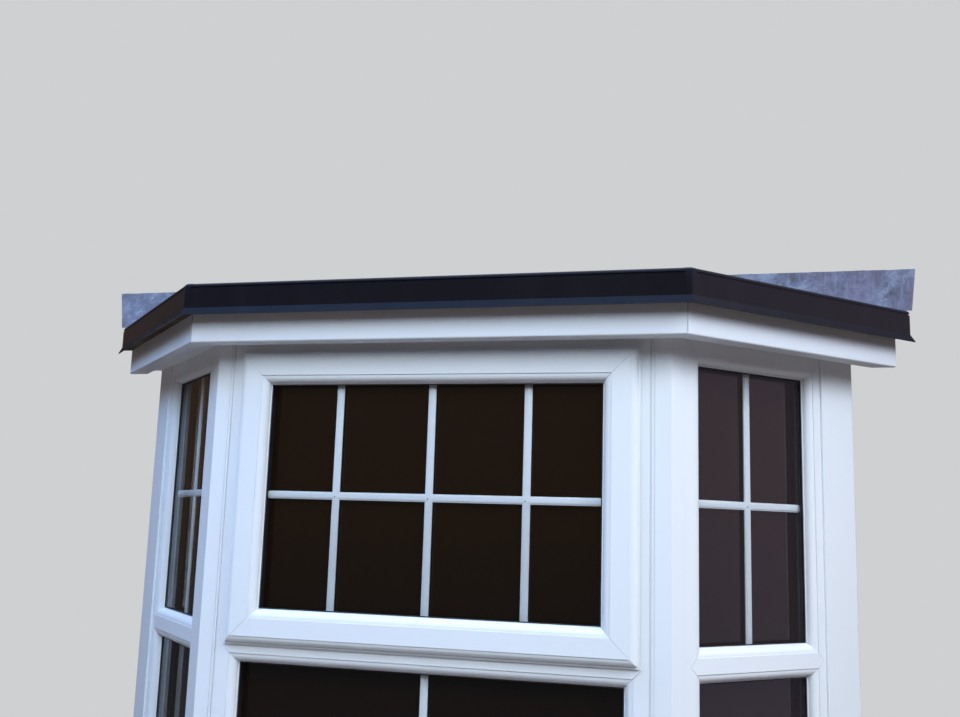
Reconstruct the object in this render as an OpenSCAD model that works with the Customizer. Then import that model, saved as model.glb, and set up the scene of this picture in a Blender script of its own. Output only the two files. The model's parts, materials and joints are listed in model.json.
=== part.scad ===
// Three-facet canted bay window on a brick dwarf wall, with a flat dressed roof.
// Seen from the front along +Y: X to the right, Z up. The plane of the house wall is the back.
// Every plan line is worked out from the line of the window frames' outer faces.

/* [Plan] */
// Width of the front facet between its two corners
front_w = 1020; // [900:5:1600]
// Turn of each side facet away from the front facet, degrees
side_angle = 45; // [40:1:50]

/* [Dwarf wall] */
// Height of one course, brick and bed joint together
course_h = 80; // [70:1:86]
// Number of brick courses below the cill
course_count = 8; // [4:1:12]
// Thickness of the brick wall
brick_wall_t = 215; // [150:5:225]
// Distance the brick face stands outside the window frames
brick_proud = 40; // [20:1:55]

/* [Cill and window board] */
// Height of the cill under the frames
cill_h = 35; // [30:1:45]
// Distance the cill nose reaches outside the frames
cill_reach = 80; // [65:1:90]
// Fall of the cill from the frame to its nose
cill_fall = 12; // [6:1:18]
// Depth that the nose hooks down below the bed
cill_hook = 10; // [6:1:14]
// Thickness of the nose hook
cill_hook_t = 12; // [8:1:16]
// Thickness of the clip-on cover at each cill corner
cill_cover_t = 1.6; // [1.2:0.1:2.4]
// Length of the corner cover along each facet
cill_cover_l = 38; // [25:1:60]
// Size of the slanted edge along the top of the nose
nose_cut = 4; // [2:0.5:6]
// Distance that the corner cover stays clear of the frame face
cover_back = 0.5; // [0.3:0.1:1]
// Thickness of the inner window board
board_t = 22; // [18:1:28]
// Distance the window board overhangs the inner wall face
board_nose = 30; // [15:1:40]

/* [Window frames] */
// Height of the three outer frames
frame_h = 1370; // [1200:5:1600]
// Depth of the frame profile from outside to inside
frame_depth = 70; // [60:1:75]
// Width of the outer frame seen from outside
frame_sight = 50; // [46:1:60]
// Height of the transom seen from outside
transom_sight = 70; // [62:1:84]
// Height of the front upper light between head and transom
upper_light_h = 580; // [480:5:680]
// Height of the upper light of each side frame
side_light_h = 571; // [480:1:680]
// Width of each side frame
side_frame_w = 409; // [320:1:600]

/* [Opening sash] */
// Width of the sash profile seen from outside
sash_sight = 77; // [70:1:84]
// Distance the sash face stands in front of the frame face
sash_proud = 18; // [17:0.5:22]
// Overlap of the sash on the frame round its opening
sash_overlap = 32; // [28:1:36]
// Thickness of the rubber seal behind the sash lip
seal_t = 3; // [2:0.5:4]
// Width of that seal
seal_w = 6; // [4:0.5:8]
// Distance of the seal from the sash's outer edge
seal_in = 3; // [2:0.5:5]
// Running gap between the sash body and the frame
sash_clear = 3; // [2:0.5:4]

/* [Moulded edge] */
// Distance each mitred plastic end is held back by its weld groove
weld_line = 0.3; // [0.1:0.1:0.5]
// Width of the ovolo moulding on frames and sash
ovolo_w = 19; // [17:0.5:22]
// Radius of the ovolo round
ovolo_r = 15; // [12:0.5:15.5]
// Radius of the smaller round along the sash's outer edge
lip_ovolo_r = 12.2; // [10:0.1:13]
// Depth of the quirk between the flat face and the round
quirk = 1.6; // [1:0.1:2.2]

/* [Glazing] */
// Distance from a profile's outer face to its glass
glass_set = 20; // [19:0.5:24]
// Thickness of one pane
pane_t = 4; // [4:1:6]
// Width of the sealed cavity between two panes
cavity = 16; // [12:1:20]
// Distance the sealed unit runs behind the sight line
edge_cover = 14; // [10:1:16]
// Depth of the glazing rebate from the sight line
rebate = 20; // [18:1:22]
// Width of the spacer bar seen across the glass
spacer_w = 8.5; // [6:0.5:9]
// Width of sealant outside the spacer bar
spacer_seal = 4; // [3:0.5:5]
// Radius of the rounded edge of the glazing beads
bead_r = 13; // [8:0.5:15]

/* [Bay posts] */
// Width of the corner post on the front facet
post_face = 43; // [36:1:60]
// Width of the corner post on its side facet
post_side_face = 34; // [30:1:60]
// Width of the sunk strip where the post meets a frame
post_sink_w = 4; // [3:0.5:6]
// Depth of that sunk strip
post_sink = 3; // [1.5:0.5:4]
// Distance of the fine line from the sunk strip
post_line_in = 6; // [4:0.5:10]
// Width and depth of the fine line
post_line = 1.2; // [0.8:0.1:2]

/* [Wall jambs] */
// Width of the timber post between a side frame and the house wall
jamb_w = 86; // [60:1:120]
// Thickness of the flat cover trim
cover_t = 5; // [4:0.5:8]
// Overlap of the cover trim on the side frame
cover_lap = 9; // [5:1:14]
// Radius of the cover trim's edge
cover_r = 2; // [1:0.5:3]

/* [Eaves] */
// Distance from the front frame face to the fascia face
eaves_front = 68; // [60:1:90]
// Distance from a side frame face to the fascia face
eaves_side = 74; // [60:1:95]
// Height of the fascia
fascia_h = 102; // [85:1:140]
// Thickness of the fascia board
fascia_t = 16; // [12:1:20]
// Radius of the fascia's lower edge
fascia_r = 4; // [2:0.5:6]
// Width of the return under the fascia, from its face
fascia_return = 38; // [30:1:46]
// Thickness of the return
return_t = 9; // [8:1:12]
// Thickness of the soffit board
soffit_t = 9; // [8:1:12]

/* [Roof] */
// Thickness of the roof deck
deck_t = 18; // [15:1:22]
// Thickness of the roof skin
skin_t = 4; // [3:0.5:5]
// Thickness of the batten between fascia and drip trim
batten_t = 20; // [16:1:25]
// Height of the batten
batten_h = 36; // [30:1:45]
// Thickness of the drip trim
trim_t = 3; // [2.5:0.5:4]
// Height of the upright face of the drip trim below the deck top
trim_face_h = 45; // [38:1:50]
// Height of the flared lip below the face
lip_h = 17; // [12:1:20]
// Distance that the lip flares outwards
lip_flare = 8; // [5:1:11]
// Radius of the rim rounding back along the top edge of the trim
trim_rim_r = 8.4; // [6:0.1:10]
// Depth of the dark groove under that rim
trim_groove = 2; // [1:0.1:2.2]
// Width of the trim's flange on the deck
trim_flange = 50; // [40:1:60]
// Thickness of the timbers round the roof
rim_t = 45; // [38:1:50]
// Width of a roof joist
joist_w = 47; // [38:1:50]
// Distance between roof joists
joist_pitch = 400; // [300:10:450]
// Thickness of the ceiling board
ceiling_t = 12; // [9:1:15]
// Width of the saw cut left open at mitred boards and timbers
saw_cut = 0.8; // [0.5:0.1:1.5]

/* [Lead flashing] */
// Thickness of the lead sheet
lead_t = 2.5; // [2:0.5:4]
// Height of the lead on the wall above the roof skin
lead_h = 104; // [80:2:150]
// Distance the lead lies on the roof skin
lead_foot = 70; // [50:2:100]
// Distance the lead runs past the drip trim at each end
lead_past = 10; // [4:1:30]

/* [Sash handle] */
// Length of the handle's rose
rose_l = 68; // [56:1:80]
// Width of the rose
rose_w = 26; // [22:1:30]
// Thickness of the rose
rose_t = 9; // [7:1:12]
// Length of the lever
lever_l = 112; // [90:1:125]
// Thickness of the lever
lever_t = 9; // [7:1:12]
// Distance from the rose to the middle of the lever
lever_off = 16; // [12:1:22]
// Width that the lever and its neck lack on the rose
lever_slim = 4; // [2:0.5:6]

/* [Hidden] */
$fn = 48;

upvc_white = [0.93, 0.95, 0.98];
brick_red = [0.58, 0.30, 0.22];
glass_tint = [0.30, 0.38, 0.42, 0.45];
spacer_bronze = [0.16, 0.13, 0.11];
rubber_black = [0.05, 0.05, 0.05];
timber = [0.80, 0.66, 0.46];
board_buff = [0.74, 0.60, 0.40];
plaster = [0.90, 0.88, 0.84];
roof_black = [0.10, 0.10, 0.12];
lead_grey = [0.45, 0.47, 0.56];

// Levels, from the ground up
brick_h = course_h * course_count;
frame_z = brick_h + cill_h;
frame_top = frame_z + frame_h;
soffit_z = frame_top;
fascia_z = soffit_z - return_t;
deck_z = fascia_z + fascia_h;
deck_top = deck_z + deck_t;
skin_top = deck_top + skin_t;
trim_top = deck_top + trim_t;
transom_z = frame_h - frame_sight - upper_light_h - transom_sight;
side_transom_z = frame_h - frame_sight - side_light_h - transom_sight;
model_top = skin_top + lead_h;

// Plan lines: half width of the front and projection, at the frames and at the fascia
mitre_slope = tan(side_angle / 2);
frame_half = front_w / 2;
side_l = post_side_face + side_frame_w + jamb_w;
projection = side_l * sin(side_angle);
eaves_half = frame_half + eaves_side / sin(side_angle) - eaves_front / tan(side_angle);
eaves_projection = projection + eaves_front;
trim_face = batten_t + trim_t;
trim_reach = trim_face + lip_flare;
model_depth = eaves_projection + trim_reach;
front_frame_w = front_w - 2 * post_face;
post_depth_x = frame_half - frame_depth * mitre_slope;
// Lengths for shapes that only cut: past everything, and just past a face
far = front_w + side_l;
tall = 4 * model_top;
over = 1;

// Depth of the sealed unit and the places of its parts behind the outer pane's face
unit_t = 2 * pane_t + cavity;
rebate_floor = frame_sight - rebate;
sash_floor = sash_sight - rebate;
sash_x = frame_sight - sash_overlap;
sash_z = transom_z + transom_sight - sash_overlap;
sash_w = front_frame_w - 2 * sash_x;
sash_h = upper_light_h + 2 * sash_overlap;
sash_body = sash_overlap + sash_clear;

// Lights as [x, z, width, height] of the glass seen, in the frame's own corner
front_lower = [frame_sight, frame_sight, front_frame_w - 2 * frame_sight, transom_z - frame_sight];
sash_light = [sash_x + sash_sight, sash_z + sash_sight, sash_w - 2 * sash_sight, sash_h - 2 * sash_sight];
side_glass_w = side_frame_w - 2 * frame_sight;
side_lower = [frame_sight, frame_sight, side_glass_w, side_transom_z - frame_sight];
side_upper = [frame_sight, side_transom_z + transom_sight, side_glass_w, side_light_h];

function wall_half(half, proj, out) = half + proj / tan(side_angle) + out / sin(side_angle);
function corner(half, proj, out) = [half + out * mitre_slope, -(proj + out)];

// Outline of everything inside a plan line, closed along the wall plane
module plan_area(half, proj, out) {
    c = corner(half, proj, out);
    w = wall_half(half, proj, out);
    polygon([[-w, 0], [-c[0], c[1]], [c[0], c[1]], [w, 0]]);
}

// Region of one facet, between the corner mitres and the wall plane
module facet_region(facet, half, proj) {
    o = corner(half, proj, far);
    i = corner(half, proj, -proj);
    translate([0, 0, -tall / 2]) linear_extrude(tall)
        if (facet == "front")
            polygon([[-o[0], o[1]], o, i, [-i[0], i[1]]]);
        else
            polygon([i, o, [o[0] + 3 * far, o[1]], [o[0] + 3 * far, 0]]);
}

// Sweeps a section along one facet. Section x is depth inwards from the plan line, y is height.
module run(facet, half, proj) {
    if (facet == "front")
        intersection() {
            translate([-half - far, -proj, 0]) rotate([90, 0, 90])
                linear_extrude(2 * (half + far)) children();
            facet_region("front", half, proj);
        }
    else
        mirror([facet == "left" ? 1 : 0, 0, 0]) intersection() {
            translate([half, -proj, 0]) rotate([0, 0, side_angle]) translate([-far, 0, 0])
                rotate([90, 0, 90]) linear_extrude(3 * far) children();
            facet_region("side", half, proj);
        }
}

// Puts the part's origin under the middle of its box
module placed() {
    translate([0, model_depth / 2, 0]) children();
}

module frame_run(facet) {
    placed() run(facet, frame_half, projection) children();
}

module eaves_run(facet) {
    placed() run(facet, eaves_half, eaves_projection) children();
}

// Own corner of each window frame: x along the facet, y inwards, z up
module on_frame(facet) {
    placed()
        if (facet == "front")
            translate([-front_frame_w / 2, -projection, frame_z]) children();
        else
            mirror([facet == "left" ? 1 : 0, 0, 0]) translate([frame_half, -projection, frame_z])
                rotate([0, 0, side_angle]) translate([post_side_face, 0, 0]) children();
}

// Brick dwarf wall: three straight walls mitred at the corners
module dwarf_wall(facet) {
    color(brick_red) frame_run(facet)
        translate([-brick_proud, 0]) square([brick_wall_t, brick_h]);
}

// Height of the cill's sloping top at a distance out from the frame face
function cill_top(out) = cill_h - cill_fall * out / (cill_reach - nose_cut);

// Outline of the cill: bed, sloping top, nose with its hook
module cill_section() {
    polygon([
        [frame_depth, 0], [frame_depth, cill_h], [0, cill_h],
        [nose_cut - cill_reach, cill_top(cill_reach - nose_cut)],
        [-cill_reach, cill_top(cill_reach - nose_cut) - nose_cut],
        [-cill_reach, -cill_hook], [cill_hook_t - cill_reach, -cill_hook], [cill_hook_t - cill_reach, 0]
    ]);
}

module cill(facet) {
    color(upvc_white) translate([0, 0, brick_h]) frame_run(facet) cill_section();
}

// Outline of the cill's top and nose filled down to z = low, all of it grown by g
module nose_section(g, low) {
    nose = cill_top(cill_reach - nose_cut);
    polygon([
        [frame_depth, low], [frame_depth, cill_top(-frame_depth) + g],
        [nose_cut - cill_reach - g, nose + g], [-cill_reach - g, nose - nose_cut + g], [-cill_reach - g, low]
    ]);
}

// Corner where a section along the front meets the same section along the right side
module front_right_corner() {
    translate([0, 0, brick_h]) placed() intersection() {
        translate([-far, -projection, 0]) rotate([90, 0, 90]) linear_extrude(3 * far) children();
        translate([frame_half, -projection, 0]) rotate([0, 0, side_angle]) translate([-far, 0, 0])
            rotate([90, 0, 90]) linear_extrude(3 * far) children();
    }
}

// Clip-on covers that wrap the nose at the two mitred cill corners
module cill_corner_covers() {
    l = cill_cover_l;
    t = cill_cover_t;
    side = [cos(side_angle), sin(side_angle)];
    color(upvc_white) for (m = [0, 1]) mirror([m, 0, 0]) intersection() {
        difference() {
            front_right_corner() nose_section(t, -cill_hook - t);
            front_right_corner() nose_section(0, -cill_hook);
            front_right_corner() translate([cill_hook_t - cill_reach, -cill_h]) square([far, cill_h]);
            front_right_corner() translate([-cover_back, -cill_h]) square([far, far]);
        }
        placed() translate([frame_half, -projection, 0]) linear_extrude(model_top)
            polygon([
                [-l, 0], [-l, -far], [far, -far],
                l * side + far * [side[1], -side[0]], l * side
            ]);
    }
}

// What is taken off a square edge to leave the quirk and the ovolo round
module ovolo_cut(r = ovolo_r) {
    deep = quirk + r;
    difference() {
        translate([-over, 0]) square([deep + over, ovolo_w + over]);
        translate([deep, quirk]) circle(r);
        translate([quirk, -over]) square([r, quirk + over]);
    }
}

// What is taken off a square corner at the origin to leave a round of radius r
module corner_cut(r) {
    difference() {
        translate([-over, -over]) square(r + over);
        translate([r, r]) circle(r);
    }
}

// Sections of the plastic profiles: x is depth from the outer face, y is width from the outer edge
module frame_section() {
    difference() {
        union() {
            square([frame_depth, rebate_floor]);
            square([glass_set, frame_sight]);
        }
        translate([0, frame_sight - ovolo_w]) ovolo_cut();
    }
}

module transom_section() {
    difference() {
        union() {
            translate([0, rebate]) square([frame_depth, transom_sight - 2 * rebate]);
            square([glass_set, transom_sight]);
        }
        translate([0, transom_sight - ovolo_w]) ovolo_cut();
        translate([0, ovolo_w]) mirror([0, 1]) ovolo_cut();
    }
}

module sash_section() {
    difference() {
        union() {
            square([sash_proud - seal_t, sash_body + over]);
            translate([0, sash_body]) square([glass_set, sash_sight - sash_body]);
            translate([0, sash_body]) square([frame_depth, sash_floor - sash_body]);
        }
        translate([0, sash_sight - ovolo_w]) ovolo_cut();
        translate([0, ovolo_w]) mirror([0, 1]) ovolo_cut(lip_ovolo_r);
    }
}

module seal_section() {
    translate([sash_proud - seal_t, seal_in]) square([seal_t, seal_w]);
}

module bead_section() {
    d = frame_depth - glass_set - unit_t;
    difference() {
        square([d, rebate]);
        translate([d, rebate]) rotate(180) corner_cut(bead_r);
    }
}

// One straight length of profile along +X, mitred at both ends, growing upwards
module mitred_length(l, reach) {
    k = weld_line;
    intersection() {
        rotate([90, 0, 90]) linear_extrude(l) children();
        translate([0, far / 2, 0]) rotate([90, 0, 0]) linear_extrude(far)
            polygon([[k, 0], [l - k, 0], [l - reach - k, reach], [reach + k, reach]]);
    }
}

module rail_pair(w, h, reach) {
    mitred_length(w, reach) children();
    translate([0, 0, h]) mirror([0, 0, 1]) mitred_length(w, reach) children();
}

module stile_pair(w, h, reach) {
    for (m = [0, 1])
        translate([m * w, 0, 0]) mirror([m, 0, 0]) mirror([1, 0, -1]) mitred_length(h, reach) children();
}

// Outline of the transom with the pointed ends that let it into the stiles, k shorter at each end
module transom_outline(w, k = 0) {
    v = transom_sight / 2;
    edge = frame_sight + k;
    tip = edge - v;
    polygon([
        [tip, v], [edge, 0], [w - edge, 0], [w - tip, v],
        [w - edge, transom_sight], [edge, transom_sight]
    ]);
}

// Opening of the top-hung light, measured to the floor of the glazing rebate
opening_w = front_frame_w - 2 * rebate_floor;
opening_h = upper_light_h + 2 * rebate;

module in_opening() {
    translate([rebate_floor, glass_set, transom_z + transom_sight - rebate]) children();
}

// Lining that fills the rebate where the sash closes, in place of glass and bead
module lining_section() {
    square([frame_depth - glass_set, rebate]);
}

module frame_rails(facet, w, level) {
    color(upvc_white) on_frame(facet) {
        rail_pair(w, frame_h, frame_sight) frame_section();
        if (facet == "front")
            in_opening() rail_pair(opening_w, opening_h, rebate) lining_section();
        translate([0, 0, level]) intersection() {
            rotate([90, 0, 90]) linear_extrude(w) transom_section();
            translate([0, far / 2, 0]) rotate([90, 0, 0]) linear_extrude(far)
                transom_outline(w, 2 * weld_line);
        }
    }
}

module frame_stiles(facet, w, level) {
    color(upvc_white) on_frame(facet) {
        difference() {
            stile_pair(w, frame_h, frame_sight) frame_section();
            translate([0, far / 2, level]) rotate([90, 0, 0]) linear_extrude(far) transom_outline(w);
        }
        if (facet == "front")
            in_opening() stile_pair(opening_w, opening_h, rebate) lining_section();
    }
}

module on_sash() {
    on_frame("front") translate([sash_x, -sash_proud, sash_z]) children();
}

module sash_rails() {
    color(upvc_white) on_sash() rail_pair(sash_w, sash_h, sash_sight) sash_section();
}

module sash_stiles() {
    color(upvc_white) on_sash() stile_pair(sash_w, sash_h, sash_sight) sash_section();
}

// Rubber seal that the sash lip presses on the frame
module sash_seal() {
    color(rubber_black) on_sash() {
        rail_pair(sash_w, sash_h, seal_in + seal_w) seal_section();
        stile_pair(sash_w, sash_h, seal_in + seal_w) seal_section();
    }
}

// Flat outline with a round at each end, centred, along x
module slot_outline(l, w) {
    square([l - w, w], center = true);
    for (m = [-1, 1]) translate([m * (l - w) / 2, 0]) circle(w / 2);
}

// Handle on the inside of the sash's bottom rail: rose, neck and lever
module sash_handle() {
    color(upvc_white) on_sash() translate([sash_w / 2, frame_depth, (sash_body + sash_floor) / 2])
        rotate([-90, 0, 0]) {
            linear_extrude(rose_t) slot_outline(rose_l, rose_w);
            cylinder(d = rose_w - 2 * lever_slim, h = rose_t + lever_off);
            translate([(lever_l - rose_w) / 2, 0, rose_t + lever_off - lever_t / 2])
                linear_extrude(lever_t) slot_outline(lever_l, rose_w - lever_slim);
        }
}

// Two panes of one sealed unit, running behind the sight line all round
module panes(light, set) {
    for (d = [0, pane_t + cavity])
        translate([light[0] - edge_cover, set + d, light[1] - edge_cover])
            cube([light[2] + 2 * edge_cover, pane_t, light[3] + 2 * edge_cover]);
}

module glass_unit(facet, light, set) {
    color(glass_tint) on_frame(facet) panes(light, set);
}

module spacer_ring(light, set) {
    e = edge_cover - spacer_seal;
    translate([light[0], set + pane_t, light[1]]) difference() {
        translate([-e, 0, -e]) cube([light[2] + 2 * e, cavity, light[3] + 2 * e]);
        translate([spacer_w - e, -over, spacer_w - e])
            cube([light[2] + 2 * (e - spacer_w), cavity + 2 * over, light[3] + 2 * (e - spacer_w)]);
    }
}

module bead_ring(light, set) {
    w = light[2] + 2 * rebate;
    h = light[3] + 2 * rebate;
    translate([light[0] - rebate, set + unit_t, light[1] - rebate]) {
        rail_pair(w, h, rebate) bead_section();
        stile_pair(w, h, rebate) bead_section();
    }
}

module glass_spacers() {
    color(spacer_bronze) {
        on_frame("front") spacer_ring(front_lower, glass_set);
        on_frame("front") spacer_ring(sash_light, glass_set - sash_proud);
        for (facet = ["left", "right"], light = [side_lower, side_upper])
            on_frame(facet) spacer_ring(light, glass_set);
    }
}

module glazing_beads() {
    color(upvc_white) {
        on_frame("front") bead_ring(front_lower, glass_set);
        on_frame("front") bead_ring(sash_light, glass_set - sash_proud);
        for (facet = ["left", "right"], light = [side_lower, side_upper])
            on_frame(facet) bead_ring(light, glass_set);
    }
}

// Outline of half a corner post in plan, from the corner along one facet
module post_half(face) {
    polygon([[0, 0], [face, 0], [face, frame_depth], [frame_depth * mitre_slope, frame_depth]]);
}

// What the sunk strip and the fine line take off the front half of a post
module post_front_cut() {
    translate([post_face - post_sink_w, -over]) square([post_sink_w + over, post_sink + over]);
    translate([post_face - post_sink_w - post_line_in, -over]) square([post_line, post_line + over]);
}

module bay_post(facet) {
    color(upvc_white) placed() mirror([facet == "left" ? 1 : 0, 0, 0])
        translate([frame_half, -projection, frame_z]) linear_extrude(frame_h) {
            rotate(side_angle) post_half(post_side_face);
            mirror([1, 0]) difference() {
                post_half(post_face);
                post_front_cut();
            }
        }
}

// Timber posts that close each side frame to the wall
module wall_jamb_posts() {
    from = post_side_face + side_frame_w;
    color(timber) placed() for (m = [0, 1]) mirror([m, 0, 0])
        intersection() {
            translate([frame_half, -projection, frame_z]) rotate([0, 0, side_angle])
                translate([from, 0, 0]) cube([far, frame_depth, frame_h]);
            facet_region("side", frame_half, projection);
        }
}

module cover_trims() {
    from = post_side_face + side_frame_w - cover_lap;
    color(upvc_white) placed() for (m = [0, 1]) mirror([m, 0, 0])
        intersection() {
            translate([frame_half, -projection, frame_z]) rotate([0, 0, side_angle])
                translate([from, -cover_t, 0]) linear_extrude(frame_h) difference() {
                    square([far, cover_t]);
                    corner_cut(cover_r);
                }
            facet_region("side", frame_half, projection);
        }
}

// Slot of one saw cut along both corner mitres, so that mitred boards stay separate
module mitre_saw(half, proj, cut) {
    a = corner(half, proj, far);
    b = corner(half, proj, -proj - cut);
    turn = atan2(b[1] - a[1], b[0] - a[0]);
    placed() for (m = [0, 1]) mirror([m, 0, 0]) translate([a[0], a[1], -tall / 2])
        rotate([0, 0, turn]) translate([0, -cut / 2, 0]) cube([norm(b - a), cut, tall]);
}

module window_board() {
    inner = brick_wall_t - brick_proud + board_nose;
    color(plaster) translate([0, 0, brick_h]) difference() {
        for (facet = ["front", "left", "right"])
            frame_run(facet) translate([frame_depth, 0]) square([inner - frame_depth, board_t]);
        mitre_saw(frame_half, projection, saw_cut);
    }
}

// Boards and timbers of the roof, laid out inside the frame line and the fascia line
module roof_plate(z, t, half, proj, out) {
    placed() translate([0, 0, z]) linear_extrude(t) plan_area(half, proj, out);
}

module ceiling_board() {
    color(plaster) roof_plate(frame_top, ceiling_t, frame_half, projection, -rim_t);
}

module ledger() {
    z = frame_top + ceiling_t;
    color(timber) intersection() {
        roof_plate(z, deck_z - z, frame_half, projection, -rim_t);
        placed() translate([-far * 2, -rim_t, z]) cube([4 * far, rim_t, deck_z - z]);
    }
}

module roof_rim() {
    color(timber) difference() {
        for (facet = ["front", "left", "right"])
            frame_run(facet) translate([0, frame_top]) square([rim_t, deck_z - frame_top]);
        mitre_saw(frame_half, projection, saw_cut);
    }
}

module roof_joists() {
    z = frame_top + ceiling_t;
    reach = floor((corner(frame_half, projection, -rim_t)[0] - joist_w / 2) / joist_pitch);
    color(timber) placed() for (i = [-reach : reach])
        translate([i * joist_pitch - joist_w / 2, rim_t - projection, z])
            cube([joist_w, projection - 2 * rim_t, deck_z - z]);
}

module soffit() {
    color(upvc_white) translate([0, 0, soffit_z]) difference() {
        roof_plate(0, soffit_t, eaves_half, eaves_projection, -fascia_t);
        roof_plate(-over, soffit_t + 2 * over, frame_half, projection, 0);
        mitre_saw(frame_half, projection, saw_cut);
    }
}

module fascia(facet) {
    color(upvc_white) translate([0, 0, fascia_z]) eaves_run(facet) difference() {
        union() {
            square([fascia_t, fascia_h]);
            square([fascia_return, return_t]);
        }
        corner_cut(fascia_r);
    }
}

module roof_deck() {
    color(board_buff) roof_plate(deck_z, deck_t, eaves_half, eaves_projection, batten_t);
}

module drip_battens() {
    color(timber) difference() {
        for (facet = ["front", "left", "right"])
            eaves_run(facet) translate([-batten_t, deck_z - batten_h]) square([batten_t, batten_h]);
        mitre_saw(eaves_half, eaves_projection, saw_cut);
    }
}

module roof_skin() {
    color(roof_black) roof_plate(deck_top, skin_t, eaves_half, eaves_projection, trim_face - trim_flange);
}

// Drip trim: flange on the deck, rounded rim over a groove, upright face and flared lip
module drip_section() {
    lip_top = deck_top - trim_face_h;
    polygon([
        [trim_flange - trim_face, deck_top], [trim_flange - trim_face, trim_top],
        [trim_groove - trim_face, trim_top], [trim_groove - trim_face, deck_top],
        [-trim_face, deck_top], [-trim_face, lip_top], [-trim_reach, lip_top - lip_h],
        [trim_t - trim_reach, lip_top - lip_h], [trim_t - trim_face, lip_top], [trim_t - trim_face, deck_top]
    ]);
    translate([-trim_face, trim_top]) intersection() {
        translate([trim_rim_r, 0]) circle(trim_rim_r);
        square(trim_rim_r);
    }
}

module drip_trim(facet) {
    color(roof_black) eaves_run(facet) drip_section();
}

// Lead apron: upright leg on the wall, foot lying on the roof skin
module lead_flashing() {
    end = wall_half(eaves_half, eaves_projection, trim_face) + lead_past;
    foot_end = wall_half(eaves_half, eaves_projection, trim_face - trim_flange) - lead_foot - lead_past;
    rim_top = trim_top + trim_rim_r;
    color(lead_grey) placed() {
        translate([-end, -lead_t, rim_top]) cube([2 * end, lead_t, model_top - rim_top]);
        translate([-foot_end, -lead_t, skin_top]) cube([2 * foot_end, lead_t, lead_h / 2]);
        translate([-foot_end, -lead_foot, skin_top]) cube([2 * foot_end, lead_foot, lead_t]);
    }
}

dwarf_wall("front");  // dwarf_wall_front
dwarf_wall("left");  // dwarf_wall_left
dwarf_wall("right");  // dwarf_wall_right
cill("front");  // cill_front
cill("left");  // cill_left
cill("right");  // cill_right
cill_corner_covers();
frame_rails("front", front_frame_w, transom_z);  // front_frame_rails
frame_stiles("front", front_frame_w, transom_z);  // front_frame_stiles
frame_rails("left", side_frame_w, side_transom_z);  // left_frame_rails
frame_stiles("left", side_frame_w, side_transom_z);  // left_frame_stiles
frame_rails("right", side_frame_w, side_transom_z);  // right_frame_rails
frame_stiles("right", side_frame_w, side_transom_z);  // right_frame_stiles
sash_rails();
sash_stiles();
sash_seal();
sash_handle();
glass_unit("front", sash_light, glass_set - sash_proud);  // sash_glass
glass_unit("front", front_lower, glass_set);  // front_lower_glass
glass_unit("left", side_upper, glass_set);  // left_upper_glass
glass_unit("left", side_lower, glass_set);  // left_lower_glass
glass_unit("right", side_upper, glass_set);  // right_upper_glass
glass_unit("right", side_lower, glass_set);  // right_lower_glass
glass_spacers();
glazing_beads();
bay_post("left");  // left_bay_post
bay_post("right");  // right_bay_post
wall_jamb_posts();
cover_trims();
window_board();
ceiling_board();
roof_rim();
roof_joists();
ledger();
soffit();
fascia("front");  // fascia_front
fascia("left");  // fascia_left
fascia("right");  // fascia_right
roof_deck();
drip_battens();
roof_skin();
drip_trim("front");  // drip_trim_front
drip_trim("left");  // drip_trim_left
drip_trim("right");  // drip_trim_right
lead_flashing();
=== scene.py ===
"""Dresses the canted bay window: bricks, plastic frames, glazing and the lead-flashed roof."""

import json
import logging
import math
import random
from collections.abc import Callable, Iterable, Iterator, Sequence
from contextlib import contextmanager
from dataclasses import dataclass, field
from enum import Enum

import bpy
from mathutils import Matrix, Vector, noise


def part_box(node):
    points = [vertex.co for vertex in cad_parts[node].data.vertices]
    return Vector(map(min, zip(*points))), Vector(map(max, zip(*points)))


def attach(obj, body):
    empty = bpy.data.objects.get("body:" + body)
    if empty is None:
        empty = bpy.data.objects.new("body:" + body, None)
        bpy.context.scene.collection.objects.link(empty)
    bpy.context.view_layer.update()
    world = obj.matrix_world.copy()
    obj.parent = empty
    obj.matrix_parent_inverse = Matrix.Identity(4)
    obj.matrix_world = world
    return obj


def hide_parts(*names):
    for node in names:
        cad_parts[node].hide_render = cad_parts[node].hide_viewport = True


logging.basicConfig(level=logging.INFO, format="%(name)s: %(message)s")
log = logging.getLogger("bay_window")

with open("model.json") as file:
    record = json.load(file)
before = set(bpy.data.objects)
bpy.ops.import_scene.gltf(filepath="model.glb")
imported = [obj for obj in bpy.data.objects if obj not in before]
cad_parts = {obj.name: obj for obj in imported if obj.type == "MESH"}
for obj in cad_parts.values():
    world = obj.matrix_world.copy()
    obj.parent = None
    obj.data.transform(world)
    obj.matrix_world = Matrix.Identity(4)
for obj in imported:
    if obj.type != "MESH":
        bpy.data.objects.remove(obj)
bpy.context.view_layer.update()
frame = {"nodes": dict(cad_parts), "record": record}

MM = 0.001
PATTERN_SEED = 41  # without it the clock would choose the pattern of noise_vector
Colour = tuple[float, float, float]
Point = tuple[float, float]
Stops = tuple[tuple[float, Colour], ...]
Material = bpy.types.Material
Piece = bpy.types.Object
Socket = bpy.types.NodeSocket

BLACK: Colour = (0.0, 0.0, 0.0)
WHITE: Colour = (1.0, 1.0, 1.0)


class Facet(Enum):
    """The three sides of the bay, as seen from the street."""

    LEFT = "left"
    FRONT = "front"
    RIGHT = "right"


class Grain(Enum):
    """Direction in which the fibres of a timber piece run, as a turn about X, Y and Z."""

    ALONG_X = (0.0, 0.0, 0.0)
    ALONG_Y = (0.0, 0.0, math.pi / 2)
    UPRIGHT = (0.0, math.pi / 2, 0.0)


# ---------------------------------------------------------------- plan


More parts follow.
